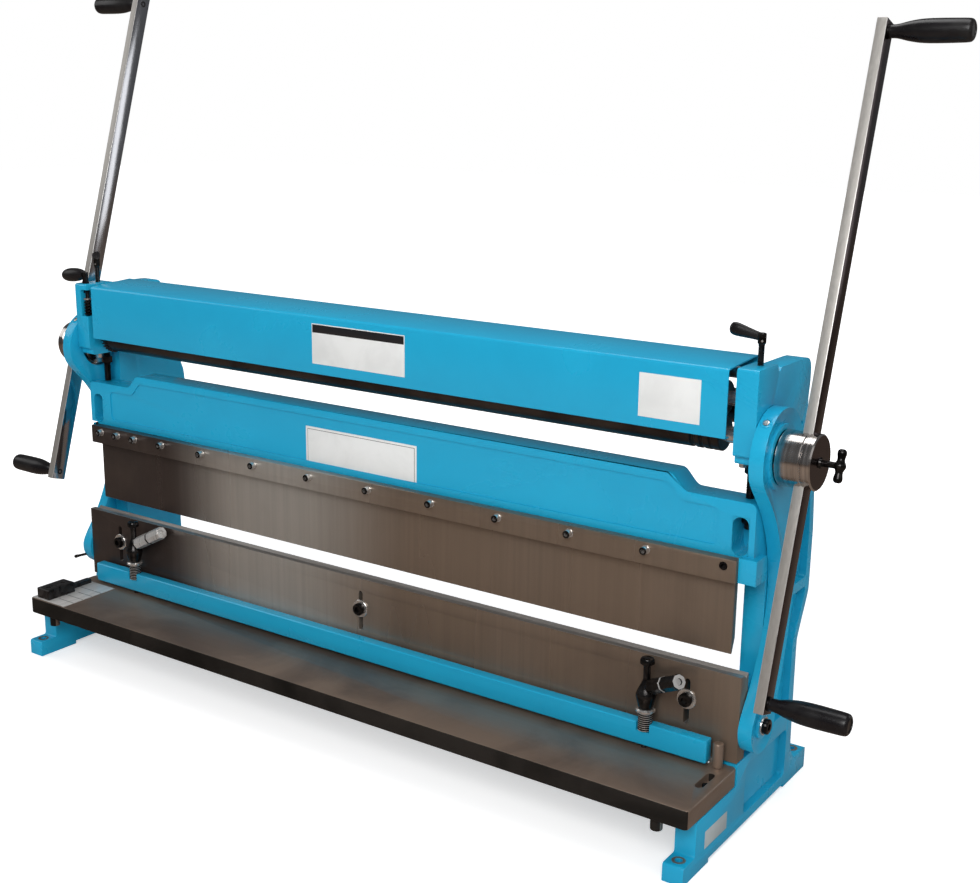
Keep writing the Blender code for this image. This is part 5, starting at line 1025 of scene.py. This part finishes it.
def hub_screw(word, side):
    centre = middle("hub_" + word)
    face = end_of("hub_" + word, side)
    tee_x = end_of("hub_screw_" + word, side) - side * TEE_RADIUS
    reach = abs(tee_x - face)
    s = TEE_STEM_RADIUS
    stem = turned(((-10 * MM, s), (0, s), (0, TEE_COLLAR_RADIUS), (TEE_COLLAR_HEIGHT, TEE_COLLAR_RADIUS - MM),
                   (TEE_COLLAR_HEIGHT, s), (reach, s)), 32)
    body = "hub_screw_" + word
    keep(lay(stem, face, centre, side), "tee_stem_" + word, body, BRIGHT_BLACK, body)
    half = TEE_HALF_LENGTH
    r = TEE_RADIUS
    arm = [(0.36 * half, 0.82 * r), (half - 6 * MM, r), (half - 2 * MM, 0.85 * r), (half, 0.45 * r)]
    tee = turned(eased([(-x, s) for x, s in reversed(arm)] + [(0, TEE_BALL_RADIUS)] + arm), 32)
    keep(point(tee, (tee_x, centre.y, centre.z), BAR_DIRECTION), "tee_bar_" + word, body, BRIGHT_BLACK)


def handle_bar(word, side):
    """Flat bar with ground edges, a bright chrome inner side, painted shade on the outer side and painted highlights
    on its rounded edges, and a screw behind each grip.
    """
    body = "handle_" + word
    bar = dressed("handle_bar_" + word, body, BAR_EDGE, 1.0 * MM)
    second_finish(bar, BAR_SIDE, lambda place, normal: side * normal.x < -0.9)
    # Painted shade on the outer side
    second_finish(bar, PAINTED_SHADE_POLISH, lambda place, normal: side * normal.x > 0.9)
    # Painted highlight along the rounded edges
    second_finish(bar, BRIGHT_STEEL_AND_HIGHLIGHT, lambda place, normal: 0.2 < abs(normal.x) < 0.9)
    inner = start_of("handle_bar_" + word, side)
    head = socket_screw(*BAR_SCREW)
    for end in ("low", "high"):
        axis = middle("grip_%s_%s" % (word, end))
        screw = placed(head, (inner + side * (BAR_SCREW[1] - BAR_SCREW_STAND), axis.y, axis.z), (-side, 0, 0))
        keep(screw, "bar_screw_%s_%s" % (word, end), body, BLACK_OXIDE)
    discard(head)


GRIP_KNOTS = ((0.0, 0.57), (0.10, 0.58), (0.24, 0.80), (0.38, 0.95), (0.55, 1.0), (0.80, 0.985),
              (0.945, 0.95), (0.985, 0.84), (1.0, 0.66))


def grips():
    """Moulded grips that swell from a narrow neck, each with a sunk disc in its end."""
    low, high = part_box("grip_right_high")
    length = high.x - low.x
    knots = [(length * share, GRIP_RADIUS * swell) for share, swell in GRIP_KNOTS]
    r = GRIP_RADIUS
    grip = turned(eased(knots) + [(length - 0.3 * MM, 0.60 * r), (length - 1.6 * MM, 0.57 * r),
                                  (length - 1.6 * MM, 0.10 * r)], 56)
    ferrule = turned(((0, 0.62 * r), (2.4 * MM, 0.62 * r), (3 * MM, 0.58 * r)), 40)
    for word, side in SIDES:
        for end in ("low", "high"):
            name = "grip_%s_%s" % (word, end)
            axis = middle(name)
            seat = (start_of(name, side), axis.y, axis.z)
            piece = placed(grip, seat, (side, 0, 0))
            keep(piece, name.replace("grip", "moulded_grip"), "handle_" + word, BLACK_PLASTIC, name)
            ring = placed(ferrule, seat, (side, 0, 0))
            keep(ring, name.replace("grip", "grip_ferrule"), "handle_" + word, BRIGHT_BLACK)
    discard(grip, ferrule)


# Link arms and their bolts
def link_arm(word):
    """The arm itself, and the set screw in its seat on the eye's rim."""
    eye = middle("hub_" + word)
    arm = "link_arm_" + word
    dressed(arm, arm, CAST_BLUE, ARM_EDGE, curved_along=0)
    out = Vector((0, -sin(ARM_SCREW_ANGLE), cos(ARM_SCREW_ANGLE)))
    seat = Vector((middle(arm).x, eye.y, eye.z)) + out * (ARM_EYE_RADIUS - ARM_SEAT_SUNK)
    r = ARM_SCREW_RING_RADIUS
    rim = turned(((0, r + MM), (1.4 * MM, r + MM), (2.2 * MM, r), (2.2 * MM, r - 1.4 * MM),
                  (0.6 * MM, r - 2 * MM)), 40)
    keep(point(rim, seat, out), "arm_screw_seat_" + word, arm, CAST_BLUE)
    keep(point(socket_screw(*ARM_SCREW), seat, out), "arm_set_screw_" + word, arm, TURNED_UPRIGHT)


def link_bolt(word, side):
    """The bolt that a link arm swings on: shank, bright washer and black cap head."""
    pin = "link_pin_" + word
    axis = middle(pin)
    start = start_of(pin, side)
    outside = end_of("link_arm_" + word, side) + side * 0.5 * MM
    length = abs(outside - start)
    shank = turned(((0, LINK_SHANK_RADIUS), (length, LINK_SHANK_RADIUS), (length, LINK_WASHER_RADIUS),
                    (length + LINK_WASHER_HEIGHT, LINK_WASHER_RADIUS - 0.4 * MM)))
    keep(lay(shank, start, axis, side), "link_bolt_" + word, "lower_ram", TURNED_STEEL, pin)
    seat = outside + side * LINK_WASHER_HEIGHT
    head = socket_screw(LINK_HEAD_RADIUS, abs(end_of(pin, side) - seat), LINK_HEAD_KEY)
    keep(lay(head, seat, axis, side), "link_bolt_head_" + word, "lower_ram", BRIGHT_BLACK)


# The short black lever at the foot of the left link arm
FOOT_LEVER_START = Vector((-720.0 * MM, FRONT_Y + 6.0 * MM, 153.0 * MM))
FOOT_LEVER_END = Vector((-747.0 * MM, FRONT_Y - 4.0 * MM, 144.0 * MM))
FOOT_LEVER_RADIUS = 2.6 * MM


def foot_lever():
    aim = FOOT_LEVER_END - FOOT_LEVER_START
    length, r = aim.length, FOOT_LEVER_RADIUS
    rod = turned(eased([(0, r), (0.6 * length, r), (0.9 * length, 1.3 * r), (length, 0.6 * r)]), 24)
    keep(point(rod, FOOT_LEVER_START, aim), "foot_lever_left", "link_arm_left", BRIGHT_BLACK)


# Rolls and tie bars
def across_machine(node, body, material, radius, shoulder, steps, between=(), around=48):
    """A long turned piece, alike towards both ends: a barrel, and (place, radius) steps beyond its shoulder."""
    c = BARREL_CHAMFER
    right = [(shoulder - c, radius), (shoulder, radius - c), *steps, (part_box(node)[1].x, steps[-1][1])]
    left = [(-x, r) for x, r in reversed(right)]
    piece = turned(left + list(between) + right, around)
    return keep(lay(piece, 0, middle(node)), node + "_turned", body, material, node)


def roll(node, body, steps, between=()):
    end = BARREL_HALF_LENGTH
    piece = across_machine(node, body, ROLL_STEEL, BARREL_RADIUS, end, steps, between, ROLL_SIDES)
    second_finish(piece, TURNED_STEEL, lambda place, normal: abs(place.x) > end + 0.1 * MM)


def rolls():
    r = BARREL_RADIUS
    grooves = []
    for x, d in WIRE_GROOVES:
        grooves += [(x - d, r), (x - 0.4 * d, r - 0.85 * d), (x, r - d), (x + 0.4 * d, r - 0.85 * d), (x + d, r)]
    steps = [(BARREL_HALF_LENGTH, LOWER_JOURNAL_RADIUS), (STUB_START, LOWER_JOURNAL_RADIUS),
             (STUB_START, LOWER_STUB_RADIUS)]
    roll("lower_roll", "drive_shaft", steps, grooves)
    for node, journal in PLAIN_ROLLS:
        roll(node, node, [(BARREL_HALF_LENGTH, journal)])


def tie_bars():
    shoulder = end_of("frame_right", -1) - TIE_BAR_GAP
    for node, radius in TIE_BARS:
        across_machine(node, "base", BLADE_STEEL, radius, shoulder, [(shoulder, TIE_BAR_TENON_RADIUS)])


# Roll screws, their levers and the release lever
SCREW_TOP_Z = 746.0 * MM
SCREW_AXIS_X = 683.0 * MM
SCREW_AXIS_Y = FRONT_Y + 41.0 * MM
LEVER_START = 2.0 * MM
LEVER_LENGTH = 49.0 * MM
LEVER_KNOTS = ((0.25, 0.70), (0.55, 0.88), (0.80, 1.0), (0.93, 0.86), (0.985, 0.52), (1.0, 0.16))


def roll_screw(word, side):
    body = "roll_screw_" + word
    low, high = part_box(body)
    axis = Vector((side * SCREW_AXIS_X, SCREW_AXIS_Y, 0))
    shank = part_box("frame_" + word)[1].z - SCREW_SHANK_DROP
    neck = high.z - SCREW_THREAD_TOP_DROP
    r = SCREW_HEAD_RADIUS
    stem = [(low.z, r), (shank, r), *thread(shank, neck, *SCREW_THREAD), (neck, SCREW_THREAD[0]),
            (neck + 2 * MM, r - MM), (neck + 3 * MM, r), (SCREW_TOP_Z - MM, r),
            (SCREW_TOP_Z, r - MM)]
    upright(stem, axis, "roll_screw_stem_" + word, body, BRIGHT_BLACK, body, 32)
    reach = r + 0.4 * MM
    pin = point(disc(-reach, reach, SCREW_PIN_RADIUS, 20), (axis.x, axis.y, SCREW_TOP_Z - SCREW_PIN_DROP),
                SCREW_PIN_DIRECTION)
    keep(pin, "roll_screw_pin_" + word, body, TURNED_UPRIGHT)
    pivot = Vector((axis.x, axis.y, SCREW_TOP_Z - r))
    lever = "roll_lever_" + word
    aim = middle(lever) - pivot
    knots = [(LEVER_LENGTH * share, LEVER_RADIUS * swell) for share, swell in LEVER_KNOTS]
    paddle = turned(eased([(LEVER_START, 0.62 * LEVER_RADIUS)] + knots), 40)
    flatten(paddle, aim)
    keep(point(paddle, pivot, aim), "roll_screw_paddle_" + word, body, BLACK_PLASTIC, lever)


def flatten(paddle, aim):
    """Presses a lever flatter on the side that ends up level and square to its aim."""
    turn = Vector(UP).rotation_difference(aim.normalized())
    level = turn.inverted() @ aim.cross(Vector(UP)).normalized()
    paddle.matrix_world = Matrix.Scale(LEVER_FLATTENING, 4, level) @ paddle.matrix_world
    apply_place(paddle)


RELEASE_AXIS = Vector((-683.0 * MM, FRONT_Y + 12.0 * MM, 718.0 * MM))
RELEASE_COLLAR_RADIUS = 6.5 * MM
RELEASE_COLLAR_HEIGHT = 4.0 * MM
RELEASE_GRIP_START = 4.0 * MM
RELEASE_GRIP_LENGTH = 62.0 * MM
RELEASE_GRIP_KNOTS = ((0.0, 0.55), (0.12, 0.78), (0.32, 0.95), (0.55, 1.0), (0.76, 0.93), (0.91, 0.72),
                      (0.98, 0.42), (1.0, 0.15))


def release_lever():
    low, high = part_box("release_stem")
    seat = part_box("frame_left")[1].z
    top = seat + RELEASE_COLLAR_HEIGHT
    r = SCREW_THREAD[0]
    stem = ((low.z, r), (seat, r), (seat, RELEASE_COLLAR_RADIUS), (top, RELEASE_COLLAR_RADIUS), (top, r + MM),
            (high.z - MM, r + MM), (high.z, r))
    upright(stem, RELEASE_AXIS, "release_spindle", "release_lever", BRIGHT_BLACK, "release_stem", 32)
    aim = middle("release_grip") - RELEASE_AXIS
    start = RELEASE_GRIP_START
    length = RELEASE_GRIP_LENGTH - start
    knots = [(start + length * share, RELEASE_GRIP_RADIUS * swell) for share, swell in RELEASE_GRIP_KNOTS]
    grip = turned(eased(knots), 48)
    keep(point(grip, RELEASE_AXIS, aim), "release_knob", "release_lever", BLACK_PLASTIC, "release_grip")


# Blank plates where the machine carries labels
BLANK_THICKNESS = 0.5 * MM
BLANK_EDGE = 0.15 * MM
RAM_PANEL_Y = FRONT_Y + 23.5 * MM
GUARD_PLATES = (("guard_plate", -0.101, 0.617, 0.095, 0.685, 0.0, WHITE_LABEL),
                ("guard_plate_band", -0.0995, 0.670, 0.0935, 0.6835, 0.2 * MM, BLACK_LABEL),
                ("guard_plate_square", 0.518, 0.614, 0.615, 0.678, 0.0, WHITE_LABEL))
RAM_PLATE = (-0.140, 0.4245, 0.101, 0.4995)
RAM_PLATE_LAYERS = (("ram_plate", 0.0, 0.0, WHITE_LABEL),
                    ("ram_plate_border", 4.0 * MM, 0.2 * MM, BLACK_LABEL),
                    ("ram_plate_face", 4.8 * MM, 0.4 * MM, WHITE_LABEL))


def blank_plate(name, low, high, body, material):
    keep(flat_plate(low, high, BLANK_EDGE), name, body, material, slot="blue_paint")


def labels():
    """Two plates on the guard, one on the ram and one on the right foot rail, all bare."""
    for name, left, bottom, right, top, rise, finish in GUARD_PLATES:
        blank_plate(name, (left, FRONT_Y - BLANK_THICKNESS - rise, bottom), (right, FRONT_Y, top), "base", finish)
    left, bottom, right, top = RAM_PLATE
    for name, inset, rise, finish in RAM_PLATE_LAYERS:
        blank_plate(name, (left + inset, RAM_PANEL_Y - BLANK_THICKNESS - rise, bottom + inset),
                    (right - inset, RAM_PANEL_Y, top - inset), "upper_ram", finish)
    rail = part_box("frame_right")[1].x
    blank_plate("rail_plate", (rail, FRONT_Y - 92 * MM, 0.028), (rail + BLANK_THICKNESS, FRONT_Y - 20 * MM, 0.055),
                "base", GREY_LABEL)


# The whole machine
refinish()
for solid in DRESSED:
    dressed(*solid)
bare_edges("bending_plate_dressed", 1)
bare_edges("punch_plate_dressed", -1)
upper_ram()
left_frame()
table()
blade_end()
scale()
clamp_strip()
slot_screws()
block_bolts()
foot_rings()
grips()
foot_lever()
rolls()
tie_bars()
release_lever()
for word, side in SIDES:
    clamp(word)
    ram_stud(word)
    hub(word, side)
    hub_screw(word, side)
    handle_bar(word, side)
    link_arm(word)
    link_bolt(word, side)
    roll_screw(word, side)
labels()


# Floor, light and camera
FLOOR_COLOUR = (0.84, 0.84, 0.84)
FLOOR_IN_REFLECTIONS = (0.26, 0.20, 0.16)
FLOOR_GLOW = (0.9, 2.4, 0.50, 1.0)
WORLD_COLOUR = (0.96, 0.97, 1.0, 1)
WORLD_STRENGTH = 0.34
WORLD_IN_REFLECTIONS = 0.10
LAMPS = (
    ("front_softbox", (1.5, -2.9, 2.5), (0.1, 0, 0.4), (2.2, 1.6), 86),
    ("left_softbox", (-3.0, -1.2, 2.2), (0, 0, 0.5), (1.6, 1.6), 13),
    ("overhead_softbox", (0.2, 0.4, 3.4), (0, 0, 0.4), (3.0, 1.4), 42),
    ("right_softbox", (3.0, -0.4, 1.8), (0.6, 0, 0.5), (1.4, 1.6), 3),
    ("far_panel", (2.45, 2.45, 1.25), (-0.75, 0, 0.9), (0.9, 1.5), 6),
)
CAMERA_PLACE = (1.419, -1.761, 1.0525)
CAMERA_RIGHT = Vector((0.8247, 0.5655, 0.0127))
CAMERA_UP = Vector((-0.1478, 0.1938, 0.9698))
CAMERA_LENS = 50.22
CAMERA_WIDTH = 36.0


def floor():
    """A pale floor that keeps the machine's shadow and runs out into the white background."""
    clear_selection()
    bpy.ops.mesh.primitive_plane_add(size=30, location=(0, 0, -0.0005))
    ground = bpy.context.object
    ground.name = "studio_floor"
    finish = Finish("pale_studio_floor", roughness=0.7, shine=0.0)
    tree = finish.tree
    path = add_node(tree, "ShaderNodeLightPath").outputs
    tone = finish.colour(path["Is Glossy Ray"], FLOOR_COLOUR, FLOOR_IN_REFLECTIONS)
    tree.links.new(tone, finish.shader.inputs["Base Color"])
    distance = add_node(tree, "ShaderNodeVectorMath", {0: place_on_piece(tree)}, operation="LENGTH")
    away = soft_step(tree, distance.outputs["Value"], *FLOOR_GLOW)
    strength = add_node(tree, "ShaderNodeMath", {0: path["Is Camera Ray"], 1: away}, operation="MULTIPLY")
    glow = add_node(tree, "ShaderNodeEmission", {"Strength": strength.outputs["Value"]})
    add = add_node(tree, "ShaderNodeAddShader", {0: finish.shader.outputs["BSDF"], 1: glow.outputs["Emission"]})
    tree.links.new(add.outputs["Shader"], tree.nodes["Material Output"].inputs["Surface"])
    ground.data.materials.append(finish.material)


def world():
    """Pale all round: dimmer for light than the white that the camera sees, and dimmer still in reflections."""
    sky = bpy.data.worlds.new("pale_studio")
    bpy.context.scene.world = sky
    sky.use_nodes = True
    tree = sky.node_tree
    path = add_node(tree, "ShaderNodeLightPath").outputs
    dim = add_node(tree, "ShaderNodeMapRange", {"Value": path["Is Glossy Ray"], "To Min": WORLD_STRENGTH,
                                                "To Max": WORLD_IN_REFLECTIONS})
    base = tree.nodes["Background"]
    base.inputs["Color"].default_value = WORLD_COLOUR
    tree.links.new(dim.outputs["Result"], base.inputs["Strength"])
    seen = add_node(tree, "ShaderNodeBackground", {"Color": (1, 1, 1, 1), "Strength": 1.0})
    mix = add_node(tree, "ShaderNodeMixShader", {"Fac": path["Is Camera Ray"], 1: base.outputs["Background"],
                                                 2: seen.outputs["Background"]})
    tree.links.new(mix.outputs["Shader"], tree.nodes["World Output"].inputs["Surface"])


def soft_light(name, place, aim, size, power):
    lamp = bpy.data.lights.new(name, "AREA")
    lamp.shape = "RECTANGLE"
    lamp.size, lamp.size_y = size
    lamp.energy = power
    holder = add_object(name, lamp)
    holder.location = place
    holder.rotation_euler = (Vector(aim) - Vector(place)).to_track_quat("-Z", "Y").to_euler()


def camera():
    """The photograph's viewpoint: a little to the machine's right, looking down on it."""
    lens = bpy.data.cameras.new("photo_camera")
    lens.sensor_fit = "HORIZONTAL"
    lens.sensor_width = CAMERA_WIDTH
    lens.lens = CAMERA_LENS
    holder = add_object("photo_camera", lens)
    turn = Matrix((CAMERA_RIGHT, CAMERA_UP, CAMERA_RIGHT.cross(CAMERA_UP))).transposed().to_4x4()
    holder.matrix_world = Matrix.Translation(CAMERA_PLACE) @ turn
    bpy.context.scene.camera = holder


floor()
world()
for lamp in LAMPS:
    soft_light(*lamp)
camera()
bpy.context.scene.view_settings.view_transform = "Standard"
